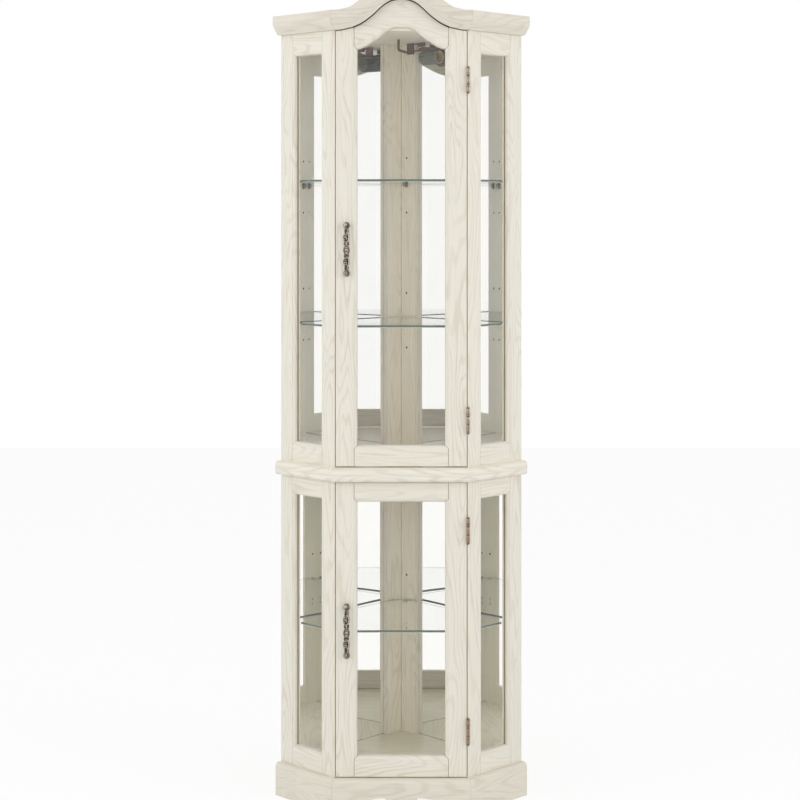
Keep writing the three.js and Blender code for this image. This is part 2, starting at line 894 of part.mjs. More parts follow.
function hingePin(centre) {
  const half = hingeLength / 2 + knuckleGap;
  const profile = [
    [0, -half - hingeTipHeight],
    [hingeTipRadius / 2, -half - hingeTipHeight],
    [hingeTipRadius, -half - hingeTipHeight / 2],
    [hingeTipRadius, -half],
    [hingePinRadius, -half],
    [hingePinRadius, half],
    [hingeTipRadius, half],
    [hingeTipRadius, half + hingeTipHeight / 2],
    [hingeTipRadius / 2, half + hingeTipHeight],
    [0, half + hingeTipHeight],
  ];
  const points = profile.map(([radius, height]) => new THREE.Vector2(radius, height));
  const pin = new THREE.LatheGeometry(points, barrelSides);
  return pin.rotateX(Math.PI / 2).translate(0, -hingeStandoff, centre);
}

// The pin is fixed in the door's leaf and turns in the bored knuckles of the frame's leaf
function addHinge(prefix, centre) {
  const doorLeaf = combine([hingeLeaf(-1, [1], centre), hingePin(centre)]);
  const reach = hingeLength / 2 + cutOverrun;
  const bore = rod(knuckleBore, centre - reach, centre + reach, barrelSides);
  const frameLeaf = cut(hingeLeaf(1, [0, 2], centre), [bore.translate(0, -hingeStandoff, 0)]);
  add(hingeGroup, `${prefix}_hinge_door_leaf`, doorLeaf, "bronze");
  add(hingeGroup, `${prefix}_hinge_frame_leaf`, frameLeaf, "bronze");
}

function addDoor(name, bottom, top, hingeHeights, handleHeight) {
  const arched = name === "upper";
  const prefix = `${name}_door`;
  const seam = doorOpeningHalfWidth + mouldWidth;
  const stileTop = arched ? top + archRise : top;
  [["lock_stile", -1], ["hinge_stile", 1]].forEach(([stile, hand]) => {
    const outline = [
      [hand * (frontHalfWidth - mitreEdge(0)), 0],
      ...framedEdge.map(([inward, depth]) => [hand * (seam - inward), depth]),
      [hand * (frontHalfWidth - mitreEdge(frameThickness)), frameThickness],
    ];
    const post = prism(outline, bottom, stileTop);
    add(model, `${prefix}_${stile}`, arched ? underArch(post, bottom) : post, "wood");
  });
  const bottomRail = copedRail(bottom, 1, bottomRailHeight, seam);
  const topRail = arched ? archedRail(seam) : copedRail(top, -1, lowerTopRailHeight, seam);
  add(model, `${prefix}_bottom_rail`, bottomRail, "wood");
  add(model, `${prefix}_top_rail`, topRail, "wood");

  const reach = grooveDepth - glassEdgePlay;
  const glassHalfWidth = doorOpeningHalfWidth + reach;
  const glassLow = bottom + bottomRailHeight - reach;
  const glassTop = (x) => (arched ? openingLine(x) : top - lowerTopRailHeight) + reach;
  const glassOutline = [
    [-glassHalfWidth, glassLow],
    [glassHalfWidth, glassLow],
    ...evenly(glassHalfWidth, -glassHalfWidth, arched ? archSteps : 1).map((x) => [x, glassTop(x)]),
  ];
  const glass = panel(glassOutline, grooveFront + glassPlay, grooveBack - glassPlay);
  add(model, `${prefix}_glass`, glass, "glass");
  add(model, `${prefix}_handle`, pullHandle(handleFromEdge - frontHalfWidth, handleHeight), "pull");

  addHinge(`${name}_bottom`, hingeHeights[0]);
  addHinge(`${name}_top`, hingeHeights[1]);

  const strikeLeft = catchFromEdge - frontHalfWidth + strikeMargin;
  const strikeBack = frameThickness + jointGap;
  const strike = box(
    [strikeLeft, strikeLeft + catchLength - 2 * strikeMargin],
    [strikeBack, strikeBack + strikeThickness],
    [top - strikeInset, top - strikeMargin],
  );
  add(model, `${prefix}_strike_plate`, strike, "steel");
}

const doors = [
  {
    name: "lower",
    bottom: lowerBase + doorEndGap,
    top: lowerTop - doorEndGap,
    hinges: [lowerBase + lowerHingeBaseInset, lowerTop - lowerHingeInset],
    handle: lowerHandleHeight,
  },
  {
    name: "upper",
    bottom: upperBase + doorEndGap,
    top: upperTop - doorEndGap,
    hinges: [upperBase + upperHingeBaseInset, upperTop - upperHingeInset],
    handle: upperHandleHeight,
  },
];
doors.forEach((door) => addDoor(door.name, door.bottom, door.top, door.hinges, door.handle));

const catchFront = frameThickness + 2 * jointGap + strikeThickness + jointGap;
const catchLeft = catchFromEdge - frontHalfWidth;
sections.forEach(({ name, top }) => {
  const block = box(
    [catchLeft, catchLeft + catchLength],
    [catchFront, catchFront + catchSize],
    [top - catchSize, top],
  );
  add(model, `${name}_door_catch`, block, "plastic");
});

// Shelves

const shelfSideLine = frameThickness + shelfPlay;
const shelfBackLine = sideLength - postFront - shelfPlay;

function shelfOutline() {
  const frontAlong = shelfFront / Math.sin(sideTurn) - shelfSideLine / Math.tan(sideTurn);
  const tipInwards = wallLength - postFront - shelfPlay - shelfTipHalfWidth / Math.cos(sideTurn);
  const half = (hand) => [
    fromSide(frontAlong, shelfSideLine, hand),
    fromSide(shelfBackLine - shelfCornerCut, shelfSideLine, hand),
    fromSide(shelfBackLine, shelfSideLine + shelfCornerCut, hand),
    fromSide(shelfBackLine, tipInwards, hand),
  ];
  return [...half(1), ...half(-1).reverse()];
}

const shelves = [
  ["lower_shelf", lowerShelfTop],
  ["middle_shelf", middleShelfTop],
  ["upper_shelf", upperShelfTop],
];
shelves.forEach(([name, level]) => {
  add(model, name, prism(shelfOutline(), level - shelfThickness, level), "glass");
});

// Lamp holder, along the right back wall

const lampGroup = new THREE.Group();
lampGroup.position.set(sideLength - socketFromWall, socketStart, upperTop - socketDrop);
sides[0].group.add(lampGroup);

// An open cup at its front end, with the contact in the middle of its floor
const socketMouth = socketRadius - socketRimThickness;
const socketProfile = [
  [0, socketMouthDepth - contactHeight],
  [contactRadius, socketMouthDepth - contactHeight],
  [contactRadius, socketMouthDepth],
  [socketMouth, socketMouthDepth],
  [socketMouth, 0],
  [socketRadius, 0],
  [socketRadius, socketLength],
  [0, socketLength],
].map(([radius, depth]) => new THREE.Vector2(radius, depth));
add(lampGroup, "lamp_socket", new THREE.LatheGeometry(socketProfile, socketSides), "socket");

const barBottom = socketRadius + jointGap;
const clipStart = socketLength + bracketOverrun;
const clipEnd = clipStart + clipLength;
const tabStart = (socketLength - bracketTabLength) / 2;
const bracketSpan = [-bracketWidth / 2, bracketWidth / 2];
const bracket = combine([
  box(bracketSpan, [0, clipEnd], [barBottom, barBottom + bracketThickness]),
  box(bracketSpan, [tabStart, tabStart + bracketTabLength], [barBottom, socketDrop]),
  box(bracketSpan, [clipStart, clipEnd], [socketDrop - clipHeight, socketDrop]),
]);
add(lampGroup, "lamp_bracket", bracket, "steel");

// A short lead hangs from the ceiling and goes into the clip
const clipFace = sides[0].group.matrix;
const clipPlace = new THREE.Vector3(
  sideLength - socketFromWall - bracketWidth / 2 - jointGap,
  socketStart + (clipStart + clipEnd) / 2,
  upperTop - leadDrop,
).applyMatrix4(clipFace);
const holePlace = new THREE.Vector3(-leadHoleFromCentre, leadHoleFromFront, upperTop - jointGap);
const intoClip = new THREE.Vector3(Math.cos(sideTurn), Math.sin(sideTurn), 0);
const leadRoute = new THREE.CatmullRomCurve3([
  holePlace,
  holePlace.clone().setZ(upperTop - leadDrop + leadBend),
  holePlace.clone().lerp(clipPlace, 1 / 4).setZ(upperTop - leadDrop),
  clipPlace.clone().addScaledVector(intoClip, -leadBend),
  clipPlace,
]);
const leadRound = new THREE.Shape(evenly(0, 2 * Math.PI, leadSides).slice(0, -1).map((turn) => (
  new THREE.Vector2(leadRadius * Math.cos(turn), leadRadius * Math.sin(turn))
)));
const lead = new THREE.ExtrudeGeometry(leadRound, { steps: leadSteps, extrudePath: leadRoute });
add(model, "lamp_lead", lead, "socket");

export default model;
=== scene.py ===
import json
import math

import bmesh
import bpy
from mathutils import Matrix, Vector


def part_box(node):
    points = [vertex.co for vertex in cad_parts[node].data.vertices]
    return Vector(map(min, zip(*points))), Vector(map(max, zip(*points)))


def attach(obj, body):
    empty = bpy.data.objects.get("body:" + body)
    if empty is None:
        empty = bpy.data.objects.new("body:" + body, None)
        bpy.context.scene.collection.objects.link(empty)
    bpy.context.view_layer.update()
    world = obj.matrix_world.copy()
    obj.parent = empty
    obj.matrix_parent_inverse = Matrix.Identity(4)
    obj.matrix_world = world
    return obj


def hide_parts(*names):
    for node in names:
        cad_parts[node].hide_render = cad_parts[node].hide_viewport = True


bl_info = {
    "name": "Corner curio cabinet",
    "version": (1, 0, 0),
    "blender": (4, 5, 0),
    "location": "View3D > Sidebar > Cabinet",
    "description": "Dresses the cabinet in limed oak, glass, mirror and aged metal",
    "category": "Add Mesh",
}

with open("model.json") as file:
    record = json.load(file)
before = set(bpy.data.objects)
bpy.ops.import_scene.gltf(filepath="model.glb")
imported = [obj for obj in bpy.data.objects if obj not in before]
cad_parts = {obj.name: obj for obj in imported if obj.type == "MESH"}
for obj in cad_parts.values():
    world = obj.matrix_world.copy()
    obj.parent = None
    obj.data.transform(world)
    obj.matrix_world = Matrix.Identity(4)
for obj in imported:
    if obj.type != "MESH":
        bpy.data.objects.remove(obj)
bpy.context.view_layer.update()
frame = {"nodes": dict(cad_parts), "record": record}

# Sizes of the cabinet, in metres
MM = 0.001
SIDE_TURN = math.radians(45)
FRONT_HALF_WIDTH = 143 * MM
SIDE_LENGTH = 176.8 * MM
FRAME_THICKNESS = 18 * MM
MOULD_WIDTH = 7 * MM
INNER_STILE_WIDTH = 48.4 * MM
OUTER_STILE_WIDTH = 45 * MM
REAR_POST_FRONT = 19 * MM
REAR_POST_TUCK = 57 * MM
MIRROR_FRONT = 8.3 * MM
MIRROR_THICKNESS = 3 * MM
MIRROR_PLAY = 0.3 * MM
DOOR_OPENING_HALF_WIDTH = 95 * MM
ARCH_HALF_WIDTH = 105 * MM
GROOVE_DEPTHS = (8.6 * MM, 14.2 * MM)
GROOVE_REACH = (-1 * MM, 6 * MM)
FACE_MARGIN = 0.1 * MM
BACK_MARGIN = 0.3 * MM
DOOR_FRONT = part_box("upper_door_bottom_rail")[0][1]
WALL_LENGTH = SIDE_LENGTH + 2 * FRONT_HALF_WIDTH * math.cos(SIDE_TURN)

# Faces this near the gap beside the doors are bare, if they look this squarely into it
GAP_REACH = 10 * MM
SQUARELY = 0.8

# Half widths of the fine lines in the wood
SIDE_JOINT_LINE = 0.2 * MM
DOOR_JOINT_LINE = 0.45 * MM
MITRE_LINE = 0.12 * MM
POST_MIDDLE_LINE = 0.7 * MM

# Each side frame's rails: height of the bottom rail and of the top rail
SIDE_RAIL_HEIGHTS = {"lower": (45 * MM, 42 * MM), "upper": (45 * MM, 49 * MM)}

# Each door's opening, from the bottom and top of the side frames beside it
DOOR_OPENING_MARGINS = {"lower": (47.1 * MM, 44.1 * MM), "upper": (47.1 * MM, 41.3 * MM)}

# The mirrors bow a little: pairs of a depth behind the side's face and a lean in degrees
MIRROR_LEANS = {
    "lower": (
        (18, 4.2), (50, 2.7), (60, 1.9), (112, 2.2), (135, 0), (185, -3.1), (240, -2.4), (322, 0),
    ),
    "upper": ((18, 1.0), (70, 0.7), (91, 0.15), (200, -0.9), (322, -0.2)),
}
MIRROR_STEPS = 40
# Height of the painted shade along each mirror's foot
MIRROR_FOOT_SHADE = 1.4 * MM

# Where the free pin holes are: along the side frames, and on the post's legs
PIN_HOLES = (30.4 * MM, 155.8 * MM)
POST_PIN_DEPTH = WALL_LENGTH - 36.5 * MM
POST_LEG_EDGE = WALL_LENGTH - 67 * MM
POST_EDGE_LINE = (POST_LEG_EDGE + 0.05 * MM, POST_LEG_EDGE + 0.9 * MM)
HOLE_REACH = 2.7 * MM
HOLE_DEPTH = 8.3 * MM

# The pulls: half length, bow, and the middle line's distance from the door, in millimetres
PULL_HALF = 59.5
PULL_BOW = 4.5
PULL_DEPTH = 13.0

# How far the pulls' relief stands out where it begins to shine, and where it shines in full
PULL_RELIEF = (1.2 * MM, 3.1 * MM)

# Dark marks in the pulls' relief, patina in its hollows and painted shade on their right sides: X,
# Z and half sizes from the middle, in millimetres
PULL_PATINA_AND_SHADE_MARKS = (
    (4.5, 48.7, 2.0, 4.0), (-1.9, 38.1, 1.9, 2.8), (-1.7, 30.9, 2.8, 1.3), (-5.6, 33.0, 1.3, 1.0),
    (1.4, 28.6, 1.3, 1.5), (-1.3, 20.6, 3.0, 1.7), (-4.8, 23.6, 1.2, 1.6), (-4.6, 13.5, 1.2, 3.2),
    (3.7, 15.0, 1.3, 2.6), (-0.6, 2.7, 3.2, 1.0), (-0.9, -4.0, 3.4, 1.4), (3.9, -13.5, 1.5, 2.0),
    (-3.2, -15.0, 1.2, 1.6), (-2.2, -24.9, 2.9, 1.0), (-4.9, -22.0, 1.0, 2.6),
    (0.6, -21.8, 1.0, 2.4), (-5.6, -28.4, 1.2, 1.2), (1.6, -31.3, 1.6, 1.4),
    (-2.0, -34.3, 3.2, 1.2), (-2.2, -40.0, 1.7, 2.8), (4.5, -49.0, 2.2, 3.8),
    (-2.4, -50.4, 0.8, 2.8),
)

# A hinge stays dark down a line beside its middle, and at these heights from its middle
HINGE_LINE = 0.4 * MM
HINGE_JOINTS = (9.1 * MM, 14.6 * MM, 26.8 * MM)

# How finely the meshes are cleaned, which of their edges stay sharp, and how far thin
# boards' and plates' edges are eased
MERGE_DISTANCE = 0.002 * MM
FLAT_ANGLE = math.radians(0.4)
EASED_ANGLE = math.radians(40)
SHARP_ANGLE = math.radians(38)
TIGHT_EDGE = 0.15 * MM

SECTIONS = ("lower", "upper")
SIDES = (("left", -1), ("right", 1))


# Settings

def linear(value):
    """One channel of a colour, from 0 to 255, as the shader needs it."""
    part = value / 255
    return part / 12.92 if part <= 0.04045 else ((part + 0.055) / 1.055) ** 2.4


def colour(red, green, blue):
    return linear(red), linear(green), linear(blue)


def scaled(parts, paint):
    """A colour with its channels multiplied, by one number or by one each."""
    parts = parts if isinstance(parts, tuple) else (parts,) * 3
    return tuple(part * channel for part, channel in zip(parts, paint))


def tint(name, words, default):
    return bpy.props.FloatVectorProperty(
        name=name, description=words, default=default, subtype="COLOR", size=3, min=0, max=1
    )


def number(name, words, default, **more):
    return bpy.props.FloatProperty(name=name, description=words, default=default, **more)


def length(name, words, default):
    return number(name, words, default, unit="LENGTH")


class CabinetWood(bpy.types.PropertyGroup):
    light: tint("Light wood", "Limed surface between the grain lines", colour(235, 231, 218))
    dark: tint("Grain", "Darker lines of the grain", colour(214, 207, 190))
    pore: tint("Pores", "Fine open pores", colour(198, 191, 170))
    # Colours for the side frames' back faces: painted light, which lifts the shade inside the
    # cabinet where the mirrors and the glass show those faces, laid on more strongly in the upper
    # section
    back: tint("Inside, upper", "Painted light inside the upper frames", colour(255, 254, 240))
    back_low: tint("Inside, lower", "Painted light inside the lower frames", colour(255, 252, 216))
    # The groove round the side glass is painted this darker brown
    groove_brown: tint("Groove brown", "Darker brown in the grooves round the glass", colour(186, 170, 138))
    # Near white: bare wood in the gaps, with painted light that lifts their shade
    gap: tint("Gap", "Wood in the gaps beside the doors", colour(252, 240, 218))
    joint: tint("Frame joint", "Shadow in the joints of the side frames", colour(158, 144, 120))
    door_joint: tint("Door joint", "Shadow in the joints of the doors", colour(112, 100, 82))
    board: tint("Back board", "Plain board at the back", colour(196, 180, 152))
    eased: length("Eased edge", "Rounding of the wooden edges", 0.6 * MM)


class CabinetGlass(bpy.types.PropertyGroup):
    pane: tint("Pane", "Tint of the panes", (0.999, 0.998, 0.991))
    shelf: tint("Shelf", "Tint of the shelves", (0.97, 0.98, 0.965))
    edge: tint("Shelf edge", "Dark part of the shelves' polished edges", colour(66, 84, 68))
    # The light lower part and the inside colour are painted light on the shelves' opaque edges
    edge_painted_light: tint("Shelf edge, lower part", "Light part of the same", colour(190, 204, 190))
    edge_inside_painted_light: tint("Shelf edge, inside", "Seen through the sheet", (0.9, 0.92, 0.9))
    mirror: tint("Mirror", "Silvering", (0.997, 0.997, 0.992))


class CabinetMetal(bpy.types.PropertyGroup):
    # On the pulls, the bright colour is partly painted highlight on the raised relief, and the dark
    # colour is patina in the hollows and painted shade through the dark marks
    pull: tint("Pull", "Raised parts of the pulls", colour(190, 179, 163))
    pull_patina_and_shade: tint("Pull recess", "Patina in the pulls' recesses", colour(60, 48, 36))
    hinge: tint("Hinge", "Raised parts of the hinges", colour(178, 161, 142))
    hinge_dark: tint("Hinge recess", "Patina of the hinges", colour(72, 58, 46))
    steel: tint("Steel", "Shelf pins and strike plates", colour(176, 170, 160))
    bracket: tint("Bracket", "Lamp bracket", colour(120, 94, 84))
    brass: tint("Brass", "Screw shell of the lamp socket", colour(252, 226, 178))


class CabinetPlastic(bpy.types.PropertyGroup):
    socket: tint("Lamp socket", "Moulded body of the socket", colour(130, 135, 125))
    lead: tint("Lead", "Rubber of the lamp's lead", colour(98, 88, 84))
    catch: tint("Catch", "Moulded door catches", colour(228, 224, 214))


class CabinetStage(bpy.types.PropertyGroup):
    distance: length("Distance", "From the camera to the doors", 3.94)
    height: length("Height", "Of the camera above the floor", 1.288)
    focal: number("Focal length", "In millimetres", 82.0)
    shift_x: number("Shift X", "Lens shift", -0.0016)
    shift_y: number("Shift Y", "Lens shift", -0.23)
    ambient: number("Ambient light", "Strength of the even light", 0.72, min=0, max=1)
    key: number("Side lights", "Power of the lamp at the left", 26.0, unit="POWER")


# Places beside the front

def on_side(outward, depth):
    """From metres outside the front and behind it, to the place along a side and the depth
    behind its face. Takes numbers and values of a node tree alike."""
    return (outward + depth) * math.cos(SIDE_TURN), (depth - outward) * math.cos(SIDE_TURN)


def side_place(point, hand):
    """A point as its place along a side and its depth behind the side's face."""
    return on_side(hand * point[0] - FRONT_HALF_WIDTH, point[1] - DOOR_FRONT)


def from_side(along, inward, hand, height):
    """The point at a place along a side and a depth behind the side's face."""
    x = FRONT_HALF_WIDTH + (along - inward) * math.cos(SIDE_TURN)
    return hand * x, DOOR_FRONT + (along + inward) * math.sin(SIDE_TURN), height


# Node trees

class Value:
    """An output of a node. Sums, products and comparisons with it make the next nodes."""

    def __init__(self, tree, socket):
        self.tree = tree
        self.socket = socket

    def __add__(self, other):
        return self.tree.math("ADD", self, other)

    def __sub__(self, other):
        return self.tree.math("SUBTRACT", self, other)

    def __rsub__(self, other):
        return self.tree.math("SUBTRACT", other, self)

    def __mul__(self, other):
        return self.tree.math("MULTIPLY", self, other)

    def __abs__(self):
        return self.tree.math("ABSOLUTE", self)

    def __lt__(self, other):
        return self.tree.math("LESS_THAN", self, other)

    def __gt__(self, other):
        return self.tree.math("GREATER_THAN", self, other)


class Tree:
    """Builds a node tree in few words: every call returns a value."""

    def __init__(self, tree):
        self.tree = tree

    def node(self, kind, **settings):
        made = self.tree.nodes.new(kind)
        for key, value in settings.items():
            setattr(made, key, value)
        return made

    def outputs(self, node):
        return {socket.name: Value(self, socket) for socket in node.outputs}

    def put(self, socket, value):
        """Joins a value to a socket, or sets a number or colour on it."""
        if isinstance(value, Value):
            self.tree.links.new(value.socket, socket)
        elif value is not None:
            socket.default_value = (*value, 1)[:4] if socket.type == "RGBA" else value

    def made(self, kind, inputs, output=0, **settings):
        """A node with its inputs set by name or place, as the value that it puts out."""
        node = self.node(kind, **settings)
        for key, value in inputs.items():
            self.put(node.inputs[key], value)
        return Value(self, node.outputs[output])

    def math(self, operation, *given, clamp=False):
        return self.made(
            "ShaderNodeMath", dict(enumerate(given)), operation=operation, use_clamp=clamp
        )

    def vector(self, operation, *given):
        return self.made("ShaderNodeVectorMath", dict(enumerate(given)), operation=operation)

    def turned(self, vector, rotation):
        return self.made("ShaderNodeMapping", {"Vector": vector, "Rotation": rotation})

    def noise(self, vector, scale, detail=2.0, roughness=0.5, distortion=0.0):
        """Noise from 0 to 1. Three scales stretch it along the axes."""
        if isinstance(scale, tuple):
            vector = self.vector("MULTIPLY", vector, scale)
            scale = 1
        return self.made("ShaderNodeTexNoise", {
            "Vector": vector, "Scale": scale, "Detail": detail, "Roughness": roughness,
            "Distortion": distortion,
        })

    def ramp(self, value, low, high):
        """A soft step from 0 at the low value to 1 at the high one."""
        return self.made(
            "ShaderNodeMapRange", {"Value": value, "From Min": low, "From Max": high},
            interpolation_type="SMOOTHSTEP",
        )

    def span(self, value, low, high):
        """Values from 0 to 1, brought between two numbers."""
        return self.made("ShaderNodeMapRange", {"Value": value, "To Min": low, "To Max": high})

    def within(self, value, low, high):
        return (value > low) * (value < high)

    def mix(self, factor, first, second):
        return self.made("ShaderNodeMix", {0: factor, 6: first, 7: second}, 2, data_type="RGBA")

    def mix_vector(self, factor, first, second):
        return self.made("ShaderNodeMix", {0: factor, 4: first, 5: second}, 1, data_type="VECTOR")

    def place(self):
        return self.outputs(self.node("ShaderNodeTexCoord"))["Object"]

    def parts(self, vector):
        node = self.node("ShaderNodeSeparateXYZ")
        self.put(node.inputs[0], vector)
        return self.outputs(node).values()

    def joined(self, *parts):
        return self.made("ShaderNodeCombineXYZ", dict(enumerate(parts)))

    def group(self, group, **inputs):
        """The outputs of a node group, by name, with its inputs set."""
        node = self.node("ShaderNodeGroup")
        node.node_tree = group
        for key, value in inputs.items():
            self.put(node.inputs[key.replace("_", " ")], value)
        return self.outputs(node)


class Finish(Tree):
    """A material with a Principled shader, and the tree that feeds it."""

    def __init__(self, name):
        self.material = bpy.data.materials.new(name)
        self.material.use_nodes = True
        super().__init__(self.material.node_tree)
        self.shader = self.tree.nodes["Principled BSDF"]

    def feed(self, **inputs):
        for key, value in inputs.items():
            self.put(self.shader.inputs[key.replace("_", " ")], value)

    def relief(self, height, strength, distance):
        bump = {"Strength": strength, "Distance": distance, "Height": height}
        self.feed(Normal=self.made("ShaderNodeBump", bump))

    def cover(self, factor, other):
        """Shows another shader in place of the material's own where the factor says."""
        blend = self.node("ShaderNodeMixShader")
        self.put(blend.inputs[0], factor)
        for socket, shader in ((1, self.shader), (2, other)):
            self.tree.links.new(shader.outputs[0], blend.inputs[socket])
        surface = self.tree.nodes["Material Output"].inputs["Surface"]
        self.tree.links.new(blend.outputs[0], surface)


VECTOR = "NodeSocketVector"
COLOUR = "NodeSocketColor"
VALUE = "NodeSocketFloat"


def shader_group(name, inputs, outputs):
    """Marks a function that fills a node group with these sockets. The group is built at
    its first use, and each material then places it with its own values."""

    def mark(fill):
        def group():
            if name in bpy.data.node_groups:
                return bpy.data.node_groups[name]
            made = bpy.data.node_groups.new(name, "ShaderNodeTree")
            for way, sockets in (("INPUT", inputs), ("OUTPUT", outputs)):
                for label, kind in sockets.items():
                    made.interface.new_socket(name=label, in_out=way, socket_type=kind)
            tree = Tree(made)
            results = fill(tree, tree.outputs(tree.node("NodeGroupInput")))
            ends = tree.node("NodeGroupOutput").inputs
            for label, value in results.items():
                tree.put(ends[label], value)
            return made
        return group
    return mark


@shader_group(
    "Limed grain",
    {"Vector": VECTOR, "Seed": VALUE, "Light": COLOUR, "Dark": COLOUR, "Pore": COLOUR},
    {"Colour": COLOUR, "Roughness": VALUE, "Height": VALUE},
)
def grain_group(tree, given):
    """Flat-sawn oak under white lime. X of the vector runs along the grain."""
    offset = tree.joined(*[given["Seed"]] * 3)
    place = tree.vector("ADD", given["Vector"], offset)
    rings = tree.noise(place, (2.4, 17, 17), 1.4, 0.4, 0.3)
    band = tree.ramp(tree.math("SINE", rings * 118.0), 0.1, 1.0)
    fade = tree.ramp(tree.noise(place, (4, 40, 40)), 0.3, 0.7)
    streak = tree.ramp(tree.noise(place, (9, 260, 260)), 0.42, 0.68)
    pores = tree.ramp(tree.noise(place, (45, 1300, 1300), 1.0), 0.56, 0.74)
    lines = band * tree.span(fade, 0.35, 1.0)
    dark = tree.math("ADD", streak * 0.26, lines * 0.58, clamp=True)
    limewash_and_painted_light = tree.ramp(tree.noise(place, (2.5, 9, 9)), 0.35, 0.75)
    dark = dark * tree.span(limewash_and_painted_light, 1.0, 0.62)
    paint = tree.mix(dark, given["Light"], given["Dark"])
    open_pores = pores * (lines * 0.5 + 0.12)
    return {
        "Colour": tree.mix(open_pores, paint, given["Pore"]),
        "Roughness": tree.span(tree.math("MAXIMUM", open_pores, dark), 0.46, 0.62),
        "Height": 1.0 - (open_pores * 0.7 + dark * 0.3),
    }


@shader_group(
    "Frame joints",
    {"Vector": VECTOR, "Inner seam": VALUE, "Outer seam": VALUE, "Bottom": VALUE, "Top": VALUE,
     "Line width": VALUE},
    {"Rails": VALUE, "Line": VALUE},
)
def joints_group(tree, given):
    """Where the rails of a frame are, and the fine line where they meet the stiles.
    X of the vector runs along the frame, and Z is the height."""
    x, _, z = tree.parts(given["Vector"])
    across = tree.math("MINIMUM", x - given["Inner seam"], given["Outer seam"] - x)
    inward = tree.math("MINIMUM", z - given["Bottom"], given["Top"] - z)
    edge = across - tree.math("MAXIMUM", inward, 0.0)
    return {"Rails": edge > 0.0, "Line": abs(edge) < given["Line width"]}


@shader_group("Mitred run", {"Vector": VECTOR}, {"Vector": VECTOR, "Line": VALUE})
def mitre_group(tree, given):
    """Turns the grain with a moulding that runs round the front and both sides."""
    x, y, z = tree.parts(given["Vector"])
    depth = y - DOOR_FRONT
    outward = abs(x) - FRONT_HALF_WIDTH
    along, inward = on_side(outward, depth)
    edge = outward + depth * math.tan(SIDE_TURN / 2)
    run = tree.mix_vector(edge > 0.0, tree.joined(x, depth, z), tree.joined(along, inward, z))
    return {"Vector": run, "Line": abs(edge) < MITRE_LINE}


@shader_group(
    "Patina",
    {"Vector": VECTOR, "Bright": COLOUR, "Dark": COLOUR, "Raised": VALUE, "Wear": VALUE},
    {"Colour": COLOUR, "Roughness": VALUE, "Height": VALUE},
)
def patina_group(tree, given):
    """Aged cast or rolled metal: dark in the recesses, rubbed bright on what stands out."""
    cloud = tree.noise(given["Vector"], 160, 3.0, 0.6)
    fine = tree.noise(given["Vector"], 900)
    edges = tree.ramp(tree.outputs(tree.node("ShaderNodeNewGeometry"))["Pointiness"], 0.42, 0.58)
    rubbed = (edges - 0.5) * given["Wear"]
    uneven = (cloud - 0.5) * 0.7
    worn = tree.math("ADD", rubbed, given["Raised"] + uneven, clamp=True)
    return {
        "Colour": tree.mix(worn, given["Dark"], given["Bright"]),
        "Roughness": tree.span(worn, 0.58, 0.3),
        "Height": cloud * 0.6 + fine * 0.4,
    }


@shader_group("Pull relief", {"Vector": VECTOR}, {"Raised": VALUE})
def pull_group(tree, given):
    """How far a pull's surface stands out from its own bowed line, less its dark marks: patina in
    its hollows, and painted shade on its right sides. The vector starts at the pull's middle, on
    the door."""
    x, y, z = tree.parts(given["Vector"])
    along = z * (1 / (PULL_HALF * MM))
    line = along * along * (-PULL_BOW * MM) + (PULL_DEPTH + PULL_BOW) * MM
    raised = tree.ramp(y * -1.0 - line, *PULL_RELIEF)
    for across, height, wide, tall in PULL_PATINA_AND_SHADE_MARKS:
        first, second = (
            tree.math("MULTIPLY_ADD", value, 1 / (size * MM), -centre / size)
            for value, centre, size in ((x, across, wide), (z, height, tall))
        )
        raised = raised * tree.ramp(first * first + second * second, 0.5, 1.4)
    return {"Raised": raised}


@shader_group("Hinge relief", {"Vector": VECTOR}, {"Raised": VALUE})
def hinge_group(tree, given):
    """Bright knuckles, dark where they meet and in a line down the barrel.
    The vector starts at the middle of the barrel."""
    x, _, z = tree.parts(given["Vector"])
    raised = tree.ramp(abs(x + HINGE_LINE), 0.6 * MM, 1.8 * MM) * 0.7 + 0.1
    for place in HINGE_JOINTS:
        raised = raised * tree.ramp(abs(abs(z) - place), 0.3 * MM, 1.4 * MM)
    return {"Raised": raised}


@shader_group(
    "Frame groove", {"Vector": VECTOR, "Middle": VALUE, "Half": VALUE},
    {"Groove": VALUE, "Back": VALUE},
)
def groove_group(tree, given):
    """The groove round a side frame's opening, and the frame's back face. X of the vector runs
    along the side."""
    x, y, _ = tree.parts(given["Vector"])
    depth = abs(y)
    beyond = abs(x - given["Middle"]) - given["Half"]
    groove = tree.within(depth, *GROOVE_DEPTHS) * tree.within(beyond, *GROOVE_REACH)
    return {"Groove": groove, "Back": depth > FRAME_THICKNESS - BACK_MARGIN}


@shader_group("Post lines", {"Vector": VECTOR}, {"Edge": VALUE, "Middle": VALUE})
def post_lines_group(tree, given):
    """Fine lines down the rear posts: at each leg's front edge, and where the legs meet."""
    x, y, _ = tree.parts(given["Vector"])
    _, inward = on_side(abs(x) - FRONT_HALF_WIDTH, y - DOOR_FRONT)
    edge = tree.within(inward, *POST_EDGE_LINE)
    return {"Edge": edge, "Middle": abs(x) < POST_MIDDLE_LINE}


@shader_group(
    "Bare grain", {"Vector": VECTOR, "Light": COLOUR, "Dark": COLOUR},
    {"Colour": COLOUR, "Roughness": VALUE},
)
def bare_group(tree, given):
    """Coarse upright streaks of wood without any lime."""
    streak = tree.noise(given["Vector"], (300, 300, 8))
    return {
        "Colour": tree.mix(streak, given["Dark"], given["Light"]),
        "Roughness": tree.span(streak, 0.7, 0.85),
    }


@shader_group("Smears", {"Vector": VECTOR}, {"Roughness": VALUE})
def smear_group(tree, given):
    """Faint smears on a sheet of glass."""
    smear = tree.ramp(tree.noise(given["Vector"], 9, 3.0, 0.6), 0.5, 0.8)
    return {"Roughness": tree.span(smear, 0.0, 0.01)}


